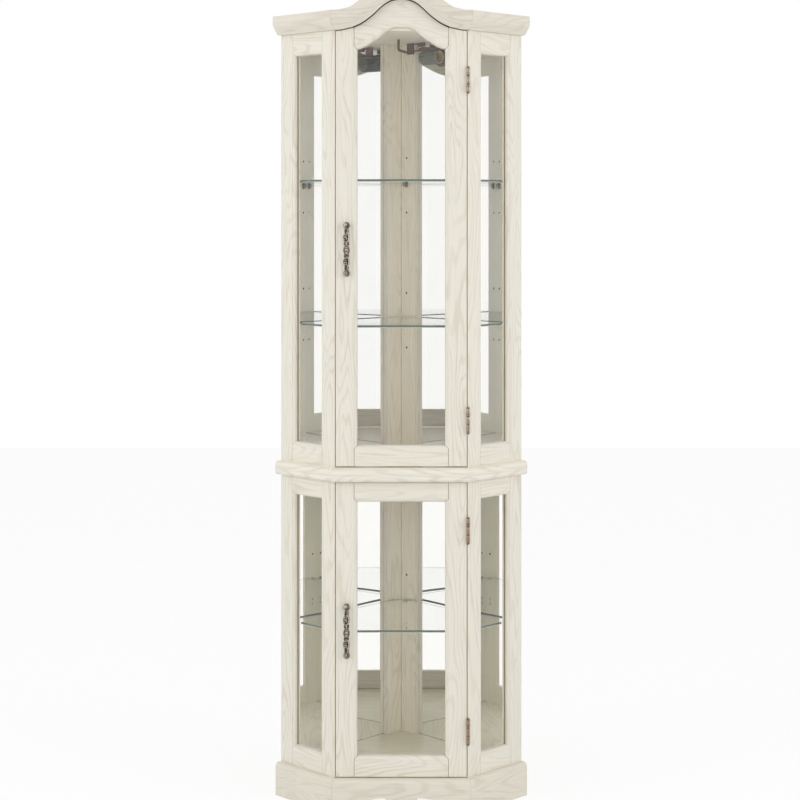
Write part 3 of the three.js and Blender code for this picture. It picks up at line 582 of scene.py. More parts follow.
@shader_group(
    "Polished edge", {"Vector": VECTOR, "Middle": VALUE, "Light": COLOUR, "Dark": COLOUR},
    {"Colour": COLOUR, "Roughness": VALUE},
)
def edge_group(tree, given):
    """The polished edge of a glass shelf: dark along its upper half, with painted light on its
    lower half.
    """
    _, _, z = tree.parts(given["Vector"])
    streak = tree.noise(given["Vector"], (12, 12, 300))
    height = streak * (-0.8 * MM) + (z - given["Middle"])
    pale = tree.ramp(height, -1.4 * MM, -2.4 * MM)
    return {
        "Colour": tree.mix(pale, given["Dark"], given["Light"]),
        "Roughness": tree.span(streak, 0.08, 0.2),
    }


@shader_group(
    "Moulded sheen", {"Vector": VECTOR, "Light": COLOUR, "Dark": COLOUR, "Rough": VALUE},
    {"Colour": COLOUR, "Roughness": VALUE, "Height": VALUE},
)
def moulded_group(tree, given):
    """The uneven sheen of moulded plastic."""
    cloud = tree.noise(given["Vector"], 220, 3.0)
    return {
        "Colour": tree.mix(cloud, given["Dark"], given["Light"]),
        "Roughness": cloud * 0.16 + given["Rough"],
        "Height": cloud,
    }


# Materials

# The ways that boards run: a turn that brings the grain onto X
UPRIGHT = (0, math.radians(90), 0)
ACROSS = (0, 0, 0)

# Lacquers: weight and roughness of the clear coat
MATT = (0.12, 0.35)
SATIN = (0.3, 0.18)
GLOSSY = (0.8, 0.18)


def beside(hand):
    return 0, 0, -SIDE_TURN if hand > 0 else SIDE_TURN - math.pi


def shaded(part, warmth=1.0):
    """A tone for the wood: darker or lighter, and warmer where warmth is below one."""
    return part, part * (1 + 2 * warmth) / 3, part * warmth


def finish_oak(finish, vector, seed, lines=(), tone=(1, 1, 1), lacquer=MATT):
    """Joins the grain to the shader, with other colours where the masks say."""
    wood = bpy.context.scene.cabinet_wood
    grain = finish.group(
        grain_group(), Vector=vector, Seed=seed, Light=scaled(tone, wood.light),
        Dark=scaled(tone, wood.dark), Pore=scaled(tone, wood.pore),
    )
    paint = grain["Colour"]
    height = grain["Height"]
    for mask, shade in lines:
        paint = finish.mix(mask, paint, shade)
        height = height - mask
    finish.feed(Base_Color=paint, Roughness=grain["Roughness"])
    finish.feed(Coat_Weight=lacquer[0], Coat_Roughness=lacquer[1])
    finish.relief(height, 0.35, 0.25 * MM)
    return finish.material


def oak(name, seed, turn=ACROSS, tone=(1, 1, 1), section=None):
    """Limed oak, with its own stretch of grain. A door's section adds its joint lines."""
    finish = Finish(name)
    place = finish.place()
    lines = []
    if section:
        low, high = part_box(f"{section}_left_side_frame")
        bottom, top = DOOR_OPENING_MARGINS[section]
        seam = DOOR_OPENING_HALF_WIDTH + MOULD_WIDTH
        joints = finish.group(
            joints_group(), Vector=place, Inner_seam=-seam, Outer_seam=seam,
            Bottom=low[2] + bottom - MOULD_WIDTH, Top=high[2] - top + MOULD_WIDTH,
            Line_width=DOOR_JOINT_LINE,
        )
        lines.append((joints["Line"], bpy.context.scene.cabinet_wood.door_joint))
    return finish_oak(finish, finish.turned(place, turn), seed, lines, tone)


def mitred_oak(name, seed):
    """Limed oak whose grain turns with the front and the sides."""
    finish = Finish(name)
    run = finish.group(mitre_group(), Vector=finish.place())
    lines = [(run["Line"] * 0.4, bpy.context.scene.cabinet_wood.joint)]
    return finish_oak(finish, run["Vector"], seed, lines, shaded(1.04))


def floor_oak(name, seed, tone, lacquer):
    """Limed oak under a shinier lacquer, for the floors that one looks along."""
    finish = Finish(name)
    return finish_oak(finish, finish.place(), seed, (), tone, lacquer)


def side_frame_oak(name, seed, section, hand):
    """Upright grain on the stiles, level grain on the rails, and a line between them. The back face
    carries painted light, and the groove round the opening is painted a darker brown.
    """
    wood = bpy.context.scene.cabinet_wood
    finish = Finish(name)
    corner = (hand * FRONT_HALF_WIDTH, DOOR_FRONT, 0)
    place = finish.turned(finish.vector("SUBTRACT", finish.place(), corner), beside(hand))
    low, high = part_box(f"{section}_{'right' if hand > 0 else 'left'}_side_frame")
    bottom_rail, top_rail = SIDE_RAIL_HEIGHTS[section]
    near = INNER_STILE_WIDTH
    far = SIDE_LENGTH - OUTER_STILE_WIDTH
    joints = finish.group(
        joints_group(), Vector=place, Inner_seam=near - MOULD_WIDTH, Outer_seam=far + MOULD_WIDTH,
        Bottom=low[2] + bottom_rail - MOULD_WIDTH, Top=high[2] - top_rail + MOULD_WIDTH,
        Line_width=SIDE_JOINT_LINE,
    )
    vector = finish.mix_vector(joints["Rails"], finish.turned(place, UPRIGHT), place)
    opening = finish.group(
        groove_group(), Vector=place, Middle=(near + far) / 2, Half=(far - near) / 2
    )
    # Painted light on the back face, stronger in the upper section
    pale, limewash_and_painted_light = (0.95, wood.back) if section == "upper" else (0.5, wood.back_low)
    lines = [
        (joints["Line"], wood.joint), (opening["Groove"], wood.groove_brown), (opening["Back"] * pale, limewash_and_painted_light),
    ]
    return finish_oak(finish, vector, seed, lines)


def post_oak(name, seed, tone):
    """Upright grain, with shadow lines where the legs meet and down their edges."""
    shadow = bpy.context.scene.cabinet_wood.door_joint
    finish = Finish(name)
    place = finish.place()
    seams = finish.group(post_lines_group(), Vector=place)
    lines = [(seams["Edge"] * 0.32, shadow), (seams["Middle"] * 0.45, shadow)]
    return finish_oak(finish, finish.turned(place, UPRIGHT), seed, lines, tone)


def bare_and_shaded_oak(name, depth=1.0):
    """Wood without the white lime, in the gaps and under the arch: its near-white colour is painted
    light that lifts the gaps' shade. A depth below one darkens it into painted shade, in the pin
    holes and under the crown's arch.
    """
    finish = Finish(name)
    light = scaled(depth, bpy.context.scene.cabinet_wood.gap)
    grain = finish.group(
        bare_group(), Vector=finish.place(), Light=light, Dark=scaled(0.85, light)
    )
    finish.feed(Base_Color=grain["Colour"], Roughness=grain["Roughness"])
    return finish.material


def board_material():
    """Plain pressed board, speckled with fibres."""
    board = bpy.context.scene.cabinet_wood.board
    finish = Finish("Back board")
    place = finish.place()
    fibres = finish.noise(place, 420, 4.0, 0.7, 0.6)
    cloud = finish.noise(place, 14)
    speckle = finish.ramp(fibres * 0.6 + cloud * 0.4, 0.35, 0.65)
    finish.feed(
        Base_Color=finish.mix(speckle, scaled(0.72, board), board),
        Roughness=finish.span(fibres, 0.6, 0.85),
    )
    finish.relief(fibres, 0.3, 0.2 * MM)
    return finish.material


def glass_material(name, paint):
    """Clear glass that lets lamps shine through it."""
    finish = Finish(name)
    smears = finish.group(smear_group(), Vector=finish.place())
    finish.feed(
        Base_Color=paint, Transmission_Weight=1, IOR=1.45, Roughness=smears["Roughness"]
    )
    clear = finish.node("ShaderNodeBsdfTransparent")
    finish.put(clear.inputs["Color"], paint)
    path = finish.outputs(finish.node("ShaderNodeLightPath"))
    passing = finish.math("MAXIMUM", path["Is Shadow Ray"], path["Is Diffuse Ray"])
    finish.cover(passing, clear)
    return finish.material


def edge_material(name, node, clear=0.0):
    """The polished edge of a glass shelf, where the light runs dark along the sheet, with painted
    light on its lower half. A clear one is painted pale where it is seen through the sheet, from
    inside: painted light."""
    glass = bpy.context.scene.cabinet_glass
    finish = Finish(name)
    low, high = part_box(node)
    edge = finish.group(
        edge_group(), Vector=finish.place(), Middle=(low[2] + high[2]) / 2,
        Light=glass.edge_painted_light, Dark=glass.edge,
    )
    paint = edge["Colour"]
    if clear:
        inside = finish.outputs(finish.node("ShaderNodeNewGeometry"))["Backfacing"]
        # Painted light where the edge is seen from inside the sheet
        paint = finish.mix(inside * clear, paint, glass.edge_inside_painted_light)
    finish.feed(Base_Color=paint, Roughness=edge["Roughness"], Coat_Weight=0.3)
    return finish.material


def mirror_material(section, foot):
    """Silvered glass with faint haze, and painted shade in a dark rim along its foot, where it
    meets the floor.
    """
    glass = bpy.context.scene.cabinet_glass
    finish = Finish(f"Mirror {section}")
    place = finish.place()
    _, _, z = finish.parts(place)
    haze = finish.ramp(finish.noise(place, 7, 3.0), 0.4, 0.8)
    silver = finish.mix(haze, glass.mirror, scaled(0.985, glass.mirror))
    # Painted shade along the mirror's foot, where it meets the floor
    rim = (z - foot < MIRROR_FOOT_SHADE) * 0.55
    finish.feed(
        Base_Color=finish.mix(rim, silver, glass.edge), Roughness=finish.span(haze, 0.0, 0.015),
        Metallic=1,
    )
    return finish.material


def metal(name, bright, dark, wear, metallic=1.0, strength=0.3, relief_group=None, middle=None):
    """Aged metal. A relief group tells what stands out, seen from the piece's middle."""
    finish = Finish(name)
    place = finish.place()
    raised = 0.5
    if relief_group:
        from_middle = finish.vector("SUBTRACT", place, middle)
        raised = finish.group(relief_group, Vector=from_middle)["Raised"]
    aged = finish.group(
        patina_group(), Vector=place, Bright=bright, Dark=dark, Wear=wear, Raised=raised
    )
    finish.feed(Base_Color=aged["Colour"], Roughness=aged["Roughness"], Metallic=metallic)
    finish.relief(aged["Height"], strength, 0.1 * MM)
    return finish.material


def steel_material(name):
    steel = bpy.context.scene.cabinet_metal.steel
    return metal(name, steel, scaled(0.45, steel), wear=0.7)


def moulded(name, paint, rough):
    """Moulded plastic with a faint uneven sheen."""
    finish = Finish(name)
    sheen = finish.group(
        moulded_group(), Vector=finish.place(), Light=paint, Dark=scaled(0.8, paint), Rough=rough
    )
    finish.feed(Base_Color=sheen["Colour"], Roughness=sheen["Roughness"])
    finish.relief(sheen["Height"], 0.15, 0.05 * MM)
    return finish.material


# Meshes

def add_piece(name, mesh, body, slot, *replaced):
    """A new piece that rides on a body and stands for the nodes that it replaces."""
    piece = bpy.data.objects.new(name, mesh)
    bpy.context.scene.collection.objects.link(piece)
    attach(piece, body)
    if replaced:
        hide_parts(*replaced)
    return piece


def ease_edges(piece, width):
    """Rounds the edges a little and keeps the flat faces flat."""
    bevel = piece.modifiers.new("Eased edges", "BEVEL")
    bevel.width = width
    bevel.segments = 2
    bevel.limit_method = "ANGLE"
    bevel.angle_limit = EASED_ANGLE
    weighted = piece.modifiers.new("Flat faces", "WEIGHTED_NORMAL")
    weighted.keep_sharp = True


def body_of_node(node):
    for body, members in frame["record"]["behaviour"]["bodies"].items():
        if node in members:
            return body
    raise ValueError(f"no body holds the node {node}")


def set_material(node, material):
    """Gives a CAD node whose shape is right its material."""
    materials = frame["nodes"][node].data.materials
    materials.clear()
    materials.append(material)


def refine(node, slot, materials, width, choose=None):
    """Copies a node's solid into a new piece with eased edges. choose gives a face's
    material, by its place in the row, from the face's centre and normal."""
    mesh = frame["nodes"][node].data.copy()
    mesh.materials.clear()
    for material in materials:
        mesh.materials.append(material)
    work = bmesh.new()
    work.from_mesh(mesh)
    bmesh.ops.remove_doubles(work, verts=work.verts, dist=MERGE_DISTANCE)
    bmesh.ops.dissolve_limit(work, angle_limit=FLAT_ANGLE, verts=work.verts, edges=work.edges)
    for face in work.faces:
        face.smooth = True
        face.material_index = choose(face.calc_center_median(), face.normal) if choose else 0
    work.to_mesh(mesh)
    work.free()
    if "custom_normal" in mesh.attributes:
        mesh.attributes.remove(mesh.attributes["custom_normal"])
    piece = add_piece(f"{node}_finished", mesh, body_of_node(node), slot, node)
    ease_edges(piece, width)


def turns(count):
    return [2 * math.pi * step / count for step in range(count)]


def round_row(radius, sides):
    """Pairs of X and Y round a circle."""
    return [(radius * math.cos(a), radius * math.sin(a)) for a in turns(sides)]


class Shape:
    """Collects simple closed forms into one mesh, in a frame of its own."""

    def __init__(self, matrix=None):
        self.mesh = bmesh.new()
        self.matrix = matrix or Matrix.Identity(4)

    def rings(self, rings, closed=False):
        """A closed skin through rings of points. A closed row of rings makes a loop."""
        count = len(rings[0])
        verts = [[self.mesh.verts.new(self.matrix @ Vector(p)) for p in ring] for ring in rings]
        pairs = list(zip(verts, verts[1:]))
        if closed:
            pairs.append((verts[-1], verts[0]))
        for first, second in pairs:
            for k in range(count):
                after = (k + 1) % count
                self.mesh.faces.new((first[k], first[after], second[after], second[k]))
        if not closed:
            self.mesh.faces.new(list(reversed(verts[0])))
            self.mesh.faces.new(verts[-1])

    def lathe(self, profile, sides, base=(0, 0, 0)):
        """Turns a profile of radii and heights about Z."""
        bx, by, bz = base
        self.rings([[(bx + x, by + y, bz + h) for x, y in round_row(r, sides)] for r, h in profile])

    def disc(self, profile, sides, x, z):
        """Turns a profile of radii and values of Y about a line along Y."""
        self.rings([[(x + a, y, z + b) for a, b in round_row(r, sides)] for r, y in profile])

    def ball(self, centre, radii, sides=16, levels=10):
        cx, cy, cz = centre
        rx, ry, rz = radii
        rows = []
        for step in range(1, levels):
            rise = math.pi * step / levels - math.pi / 2
            height = cz + rz * math.sin(rise)
            around = round_row(math.cos(rise), sides)
            rows.append([(cx + rx * x, cy + ry * y, height) for x, y in around])
        self.rings(rows)

    def tube(self, points, radii, sides=8, closed=False):
        """A round rod through points, with a radius at each of them."""
        path = [Vector(p) for p in points]
        count = len(path)
        rows = []
        for i, point in enumerate(path):
            before = path[(i - 1) % count] if closed or i else path[i]
            after = path[(i + 1) % count] if closed or i + 1 < count else path[i]
            ahead = (after - before).normalized()
            side = ahead.cross(Vector((0, 1, 0)))
            side = side.normalized() if side.length > 0.01 else Vector((1, 0, 0))
            up = side.cross(ahead)
            radius = radii[i] if isinstance(radii, list) else radii
            rows.append([point + side * x + up * y for x, y in round_row(radius, sides)])
        self.rings(rows, closed)

    def block(self, low, high):
        x0, y0, z0 = low
        x1, y1, z1 = high
        self.rings([[(x0, y0, z), (x1, y0, z), (x1, y1, z), (x0, y1, z)] for z in (z0, z1)])

    def plate(self, outline, low, high):
        """A flat plate between two values of Y, from a closed outline of X and Z."""
        self.rings([[(x, y, z) for x, z in outline] for y in (low, high)])

    def finish(self, name, material, body, slot, *replaced):
        """Closes the mesh and makes it a piece."""
        bmesh.ops.recalc_face_normals(self.mesh, faces=self.mesh.faces)
        for face in self.mesh.faces:
            face.smooth = True
        mesh = bpy.data.meshes.new(name)
        mesh.materials.append(material)
        self.mesh.to_mesh(mesh)
        self.mesh.free()
        mesh.set_sharp_from_angle(angle=SHARP_ANGLE)
        return add_piece(name, mesh, body, slot, *replaced)


class Pull(Shape):
    """A cast pull, in millimetres from its middle on the door. Z runs along it."""

    # Beads, here and below: across, along, out from the pull's line, and three radii
    collars = (
        (0, 12.4, -0.8, (5.9, 2.2, 7.2)), (0, 12.4, 0.9, (1.8, 1.9, 4.2)),
        (0, 16.6, 0.2, (5.2, 2.8, 1.0)), (0, 8.6, 0.2, (5.4, 2.8, 1.0)),
        (-0.2, -14.3, -0.8, (5.7, 2.2, 6.4)), (0.2, -16.8, 0.4, (4.8, 2.4, 0.9)),
    )
    necks = (39.6, -40.4)
    cartouche = -2.1
    cartouche_beads = (
        (0, 0, -0.2, (5.0, 2.9, 8.6)), (0, 6.1, 1.6, (2.4, 1.2, 1.7)),
        (0, -5.8, 1.6, (2.6, 1.2, 1.9)),
    )

    # The two lobes: middle, half height, and the places of their upper and lower scrolls
    lobes = ((26.4, 9.6, 4.2, -3.3), (-26.5, 9.9, 4.7, -3.7))

    # Feet: radii and distances from the door, up to the pull itself
    foot_profile = ((5.9, 0.35), (5.9, 1.3), (5.2, 2.1), (3.5, 3.2), (3.0, 6.0), (3.2, 9.0))
    foot_place = 52.4
    foot_top = 4.0

    def away(self, along):
        """Distance from the door to the pull's line."""
        return PULL_DEPTH + PULL_BOW * (1 - (along / PULL_HALF) ** 2)

    def point(self, across, along, out=0.0):
        return across, -(self.away(along) + out), along

    def curve(self, centre, radii, start, end, thick, out, steps=18):
        """A raised band that bends from one angle to another and thins at its ends."""
        path = []
        widths = []
        for k in range(steps + 1):
            angle = math.radians(start + (end - start) * k / steps)
            x = centre[0] + radii[0] * math.cos(angle)
            path.append(self.point(x, centre[1] + radii[1] * math.sin(angle), out))
            widths.append(thick * (0.55 + 0.45 * math.sin(math.pi * k / steps)))
        self.tube(path, widths)

    def ring(self, centre, radii, thick, out):
        path = [
            self.point(centre[0] + radii[0] * x, centre[1] + radii[1] * z, out)
            for x, z in round_row(1, 20)
        ]
        self.tube(path, thick, closed=True)

    def bead(self, across, along, out, radii):
        self.ball(self.point(across, along, out), radii)

    def lobe(self, middle, half, upper, lower):
        """Two scrolls in a leaf, under a band that bends round its right side."""
        self.bead(0, middle, -1.2, (7.0, 1.8, half + 0.4))
        self.curve((0.5, middle), (5.2, half), 105, -85, 1.9, 1.3)
        self.curve((-1.6, middle), (4.6, half * 0.84), 120, 235, 1.2, 0.6)
        self.ring((-1.8, middle + upper), (2.7, 2.5), 1.1, 1.4)
        self.ring((-2.2, middle + lower), (2.9, 2.7), 1.15, 1.5)
        self.bead(-6.0, middle + 0.4, 0.6, (1.5, 1.6, 1.7))
        self.bead(-5.0, middle - half * 0.72, 0.8, (1.5, 1.5, 1.7))

    def ending(self, end):
        """A knob with a leaf curled over it."""
        middle = 51.6 * end
        self.bead(0, middle, -1.2, (6.8, 2.9, 7.9))
        start, stop = (40, 285) if end > 0 else (95, 345)
        self.curve((0, middle), (4.9, 6.2), start, stop, 1.9, 0.6)
        self.bead(-1.4, middle + 1.6, 0.6, (2.6, 2.2, 3.8))

    def foot(self, end):
        reach = self.away(end * 52) - 1
        profile = (*self.foot_profile, (self.foot_top, reach))
        self.disc([(radius, -height) for radius, height in profile], 20, 0, end * self.foot_place)

    def cast(self):
        self.tube([self.point(0, -50 + 5 * k, -1.4) for k in range(21)], 1.9, 10)
        for across, along, out, radii in self.cartouche_beads:
            self.bead(across, self.cartouche + along, out, radii)
        self.ring((0, self.cartouche), (5.8, 9.2), 1.3, 0.4)
        for lobe in self.lobes:
            self.lobe(*lobe)
        for collar in self.collars:
            self.bead(*collar)
        for place in self.necks:
            self.bead(0.2, place, -0.9, (4.9, 2.0, 8.2))
            self.curve((-2.8, place), (5.6, 6.4), 70, -70, 1.4, 0.8)
        for end in (-1, 1):
            self.ending(end)
            self.foot(end)


class Leaf(Shape):
    """A leaf of a butt hinge, in millimetres from the gap's middle at the doors' face.
    Y runs into the gap and Z up the barrel."""

    standoff = 4.0
    half = 27.5
    barrel = 4.3
    gap = 0.3
    door_gap = 1.3
    leaf_gap = 0.25
    leaf = 0.8
    start = 0.8
    end = 14.0
    knuckle_length = (2 * half - 2 * gap) / 3
    rounding = ((1.1, 0), (1.0, 0.5), (0.2, 1.0), (0, 1.3))
    screw_heights = (-19, 0, 19)
    screw_offset = 1.2
    screw_profile = ((2.9, 0.0), (2.9, 0.06), (2.5, 0.16))
    pin_profile = ((0.5, 2.4), (1.6, 2.2), (2.5, 1.6), (3.0, 0.8), (3.0, 0))

    def low(self, place):
        return -self.half + place * (self.knuckle_length + self.gap)

    def knuckle(self, place):
        """A barrel with rounded ends, the same from its middle up and down."""
        low = self.low(place)
        high = low + self.knuckle_length
        rise = [(self.barrel - less, low + up) for less, up in self.rounding]
        fall = [(self.barrel - less, high - up) for less, up in reversed(self.rounding)]
        self.lathe(rise + fall, 28, (0, -self.standoff, 0))

    def make(self, side, knuckles):
        """The leaf on one side of the gap, with its knuckles and screws."""
        near = side * (self.door_gap - self.leaf_gap)
        far = near - side * self.leaf
        x0, x1 = sorted((near, far))
        self.block((x0, self.start, -self.half), (x1, self.end, self.half))
        for place in knuckles:
            low = self.low(place)
            top = low + self.knuckle_length
            self.block((x0, -self.standoff, low), (x1, self.start + 0.4, top))
        centre = (self.start + self.end) / 2 + self.screw_offset
        for height in self.screw_heights:
            self.rings([
                [(far - side * out, centre + y, height + z) for y, z in round_row(radius, 18)]
                for radius, out in self.screw_profile
            ])
        for place in knuckles:
            self.knuckle(place)

    def pin(self):
        end = self.half + self.gap
        low = [(radius, -end - past) for radius, past in self.pin_profile]
        high = [(radius, -height) for radius, height in reversed(low)]
        self.lathe(low + high, 24, (0, -self.standoff, 0))


# Pieces

class CABINET_OT_doors(bpy.types.Operator):
    """Dress the stiles and rails of both doors"""

    bl_idname = "cabinet.doors"
    bl_label = "Doors"

    def execute(self, context):
        eased = context.scene.cabinet_wood.eased
        bare = bare_and_shaded_oak("Bare door edge")
        members = (
            ("lock_stile", UPRIGHT, 0), ("hinge_stile", UPRIGHT, 0.61),
            ("top_rail", ACROSS, 1.37), ("bottom_rail", ACROSS, 1.93),
        )
        for section, start in (("lower", 3.1), ("upper", 5.7)):
            ends = [corner[2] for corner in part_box(f"{section}_door_lock_stile")]

            def choose(centre, normal, ends=ends):
                by_gap = abs(normal.x) > SQUARELY and abs(centre.x) > FRONT_HALF_WIDTH - GAP_REACH
                at_end = min(abs(centre.z - end) for end in ends) < MM
                return int(by_gap or (at_end and abs(normal.z) > 0.9))

            for member, turn, seed in members:
                node = f"{section}_door_{member}"
                wood = oak(f"Oak {node}", start + seed, turn, section=section)
                refine(node, "wood", [wood, bare], eased, choose)
        return {"FINISHED"}


class CABINET_OT_side_frames(bpy.types.Operator):
    """Dress the glazed side frames, with steel shelf pins in their stiles"""

    bl_idname = "cabinet.side_frames"
    bl_label = "Side frames"

    def execute(self, context):
        eased = context.scene.cabinet_wood.eased
        pins = steel_material("Shelf pins of the frames")
        bare = bare_and_shaded_oak("Bare frame edge")
        # Painted shade in the pin holes
        painted_hole_shade = bare_and_shaded_oak("Pin holes of the frames", 0.15)
        for section in SECTIONS:
            for side, hand in SIDES:
                node = f"{section}_{side}_side_frame"
                seed = 8.3 + 1.9 * hand + (0.7 if section == "upper" else 0)
                wood = side_frame_oak(f"Oak {node}", seed, section, hand)

                def choose(centre, normal, hand=hand):
                    along, inward = side_place(centre, hand)
                    if inward > FRAME_THICKNESS + FACE_MARGIN:
                        return 1
                    near_hole = min(abs(along - hole) for hole in PIN_HOLES) < HOLE_REACH
                    if near_hole and 0 < FRAME_THICKNESS - FACE_MARGIN - inward < HOLE_DEPTH:
                        return 3
                    faces_door, _ = on_side(hand * normal.x, normal.y)
                    return 2 if along < GAP_REACH and faces_door < -SQUARELY else 0

                refine(node, "wood", [wood, pins, bare, painted_hole_shade], eased, choose)
        return {"FINISHED"}


class CABINET_OT_posts(bpy.types.Operator):
    """Dress the corner posts at the back, with their shelf pins"""

    bl_idname = "cabinet.posts"
    bl_label = "Rear posts"

    def execute(self, context):
        eased = context.scene.cabinet_wood.eased
        pins = steel_material("Shelf pins of the posts")
        # Painted shade in the pin holes
        painted_hole_shade = bare_and_shaded_oak("Pin holes of the posts", 0.15)
        wall = WALL_LENGTH - REAR_POST_FRONT - FACE_MARGIN
        edge = SIDE_LENGTH - REAR_POST_FRONT - FACE_MARGIN

        def choose(centre, _):
            along, inward = side_place(centre, 1)
            if along < edge and inward < wall:
                return 1
            for _, hand in SIDES:
                along, inward = side_place(centre, hand)
                in_hole = abs(inward - POST_PIN_DEPTH) < HOLE_REACH
                if in_hole and 0 < along - edge - 2 * FACE_MARGIN < HOLE_DEPTH:
                    return 2
            return 0

        # Tones above one lighten both posts: painted light that lifts the shade inside the cabinet
        for section, seed, tone in (("lower", 12.2, 1.18), ("upper", 13.9, 1.2)):
            node = f"{section}_rear_post"
            wood = post_oak(f"Oak {node}", seed, shaded(tone, 0.96))
            refine(node, "wood", [wood, pins, painted_hole_shade], eased, choose)
        return {"FINISHED"}


class CABINET_OT_boards(bpy.types.Operator):
    """Dress the plinth, the waist, the floor, the ceiling and the crown"""

    bl_idname = "cabinet.boards"
    bl_label = "Boards and mouldings"

    def execute(self, context):
        eased = context.scene.cabinet_wood.eased
        level = (
            ("plinth_front", "wood", 21.3, shaded(0.96, 0.97)),
            # The ceiling's tone above one is painted light: it lifts the shade on the ceiling's
            # underside
            ("ceiling_board", "board", 24.1, shaded(1.2, 0.97)),
            ("crown_backer", "board", 26.4, shaded(1.0)),
        )
        for node, slot, seed, tone in level:
            refine(node, slot, [oak(f"Oak {node}", seed, tone=tone)], TIGHT_EDGE)

        def under_arch(centre, normal):
            level = abs(normal.y) < 0.1 and abs(centre.x) < ARCH_HALF_WIDTH
            return int(level and normal.z < -0.3)

        arch = oak("Oak crown_front", 25.7, tone=shaded(0.93, 0.97))
        # Painted shade on the crown's faces under the arch, in the gap above the door
        bare = bare_and_shaded_oak("Painted shade under the arch", 0.18)
        refine("crown_front", "wood", [arch, bare], TIGHT_EDGE, under_arch)
        base = floor_oak("Oak base_floor", 22.9, (1.02, 1.0, 0.86), SATIN)
        refine("base_floor", "board", [base], TIGHT_EDGE)
        refine("waist_lower_board", "wood", [mitred_oak("Oak waist_lower_board", 31.2)], eased)
        ledge = mitred_oak("Oak waist_upper_board", 32.8)
        # The upper floor's tone above one is painted light: it lifts the shade on the floor inside
        inside = floor_oak("Oak upper floor", 32.8, shaded(1.16, 0.97), GLOSSY)
        refine(
            "waist_upper_board", "wood", [ledge, inside], eased,
            lambda _, normal: int(normal.z > 0.9),
        )
        for side, hand in SIDES:
            for part, seed, tone in (("plinth", 33.5, 0.955), ("crown", 34.9, 0.94)):
                node = f"{part}_{side}"
                wood = oak(f"Oak {node}", seed + 0.37 * hand, beside(hand), shaded(tone, 0.97))
                refine(node, "wood", [wood], TIGHT_EDGE)
        return {"FINISHED"}


class CABINET_OT_back(bpy.types.Operator):
    """Dress the back boards and the rear rails"""

    bl_idname = "cabinet.back"
    bl_label = "Back"

    def execute(self, context):
        board = board_material()
        refine("plinth_rear", "board", [board], context.scene.cabinet_wood.eased)
        for section in SECTIONS:
            for side, _ in SIDES:
                set_material(f"{section}_{side}_back_board", board)
        return {"FINISHED"}


class CABINET_OT_mirrors(bpy.types.Operator):
    """Set the mirrors, which bow a little in front of the back boards"""

    bl_idname = "cabinet.mirrors"
    bl_label = "Mirrors"

    def lean(self, section, depth):
        """The mirror's lean at a depth, between the two nearest places that are given."""
        given = MIRROR_LEANS[section]
        for (near, first), (far, second) in zip(given, given[1:]):
            if depth <= far * MM:
                part = max(depth / MM - near, 0) / (far - near)
                return math.radians(first + part * (second - first))
        return math.radians(given[-1][1])

    def bowed(self, section):
        """Places of the mirror's face, as a place along the side and a depth."""
        start = FRAME_THICKNESS + MIRROR_PLAY
        end = WALL_LENGTH - REAR_POST_TUCK - MIRROR_PLAY
        step = (end - start) / MIRROR_STEPS
        places = [(0.0, start)]
        for _ in range(MIRROR_STEPS):
            along, depth = places[-1]
            along -= step * math.tan(self.lean(section, depth + step / 2))
            places.append((along, depth + step))
        rearmost = max(along for along, _ in places)
        face = SIDE_LENGTH - MIRROR_FRONT
        return [(face + along - rearmost, depth) for along, depth in places]

    def execute(self, context):
        for section in SECTIONS:
            silver = mirror_material(section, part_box(f"{section}_left_mirror")[0][2])
            front = self.bowed(section)
            back = [(along + MIRROR_THICKNESS, depth) for along, depth in reversed(front)]
            for side, hand in SIDES:
                node = f"{section}_{side}_mirror"
                shape = Shape()
                shape.rings([
                    [from_side(along, inward, hand, corner[2]) for along, inward in front + back]
                    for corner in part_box(node)
                ])
                shape.finish(f"{node}_bowed", silver, "root", "mirror", node)
        return {"FINISHED"}


class CABINET_OT_panes(bpy.types.Operator):
    """Glaze the doors and sides, and finish the glass shelves"""

    bl_idname = "cabinet.panes"
    bl_label = "Glass"

    def execute(self, context):
        glass = context.scene.cabinet_glass
        pane = glass_material("Pane", glass.pane)
        for section in SECTIONS:
            for part in ("door_glass", "left_side_glass", "right_side_glass"):
                set_material(f"{section}_{part}", pane)
        sheet = glass_material("Shelf glass", glass.shelf)

        def choose(_, normal):
            if abs(normal.z) > 0.5:
                return 0
            return 2 if normal.y < -0.9 else 1

        for node in ("lower_shelf", "middle_shelf", "upper_shelf"):
            edge = edge_material(f"Edge {node}", node)
            front_edge = edge_material(f"Front edge {node}", node, 0.9)
            refine(node, "glass", [sheet, edge, front_edge], 0.4 * MM, choose)
        return {"FINISHED"}


class CABINET_OT_pulls(bpy.types.Operator):
    """Cast the two pulls: cartouche, scrolls, curled ends and feet"""

    bl_idname = "cabinet.pulls"
    bl_label = "Pulls"

    def execute(self, context):
        metals = context.scene.cabinet_metal
        for section in SECTIONS:
            node = f"{section}_door_handle"
            low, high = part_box(node)
            middle = ((low[0] + high[0]) / 2, DOOR_FRONT, (low[2] + high[2]) / 2)
            cast = metal(
                f"Cast {section} pull", metals.pull, metals.pull_patina_and_shade, wear=0.5, metallic=0.6,
                strength=0.5, relief_group=pull_group(), middle=middle,
            )
            pull = Pull(Matrix.Translation(middle) @ Matrix.Scale(MM, 4))
            pull.cast()
            pull.finish(f"{section}_pull", cast, f"{section}_door", "pull", node)
        return {"FINISHED"}


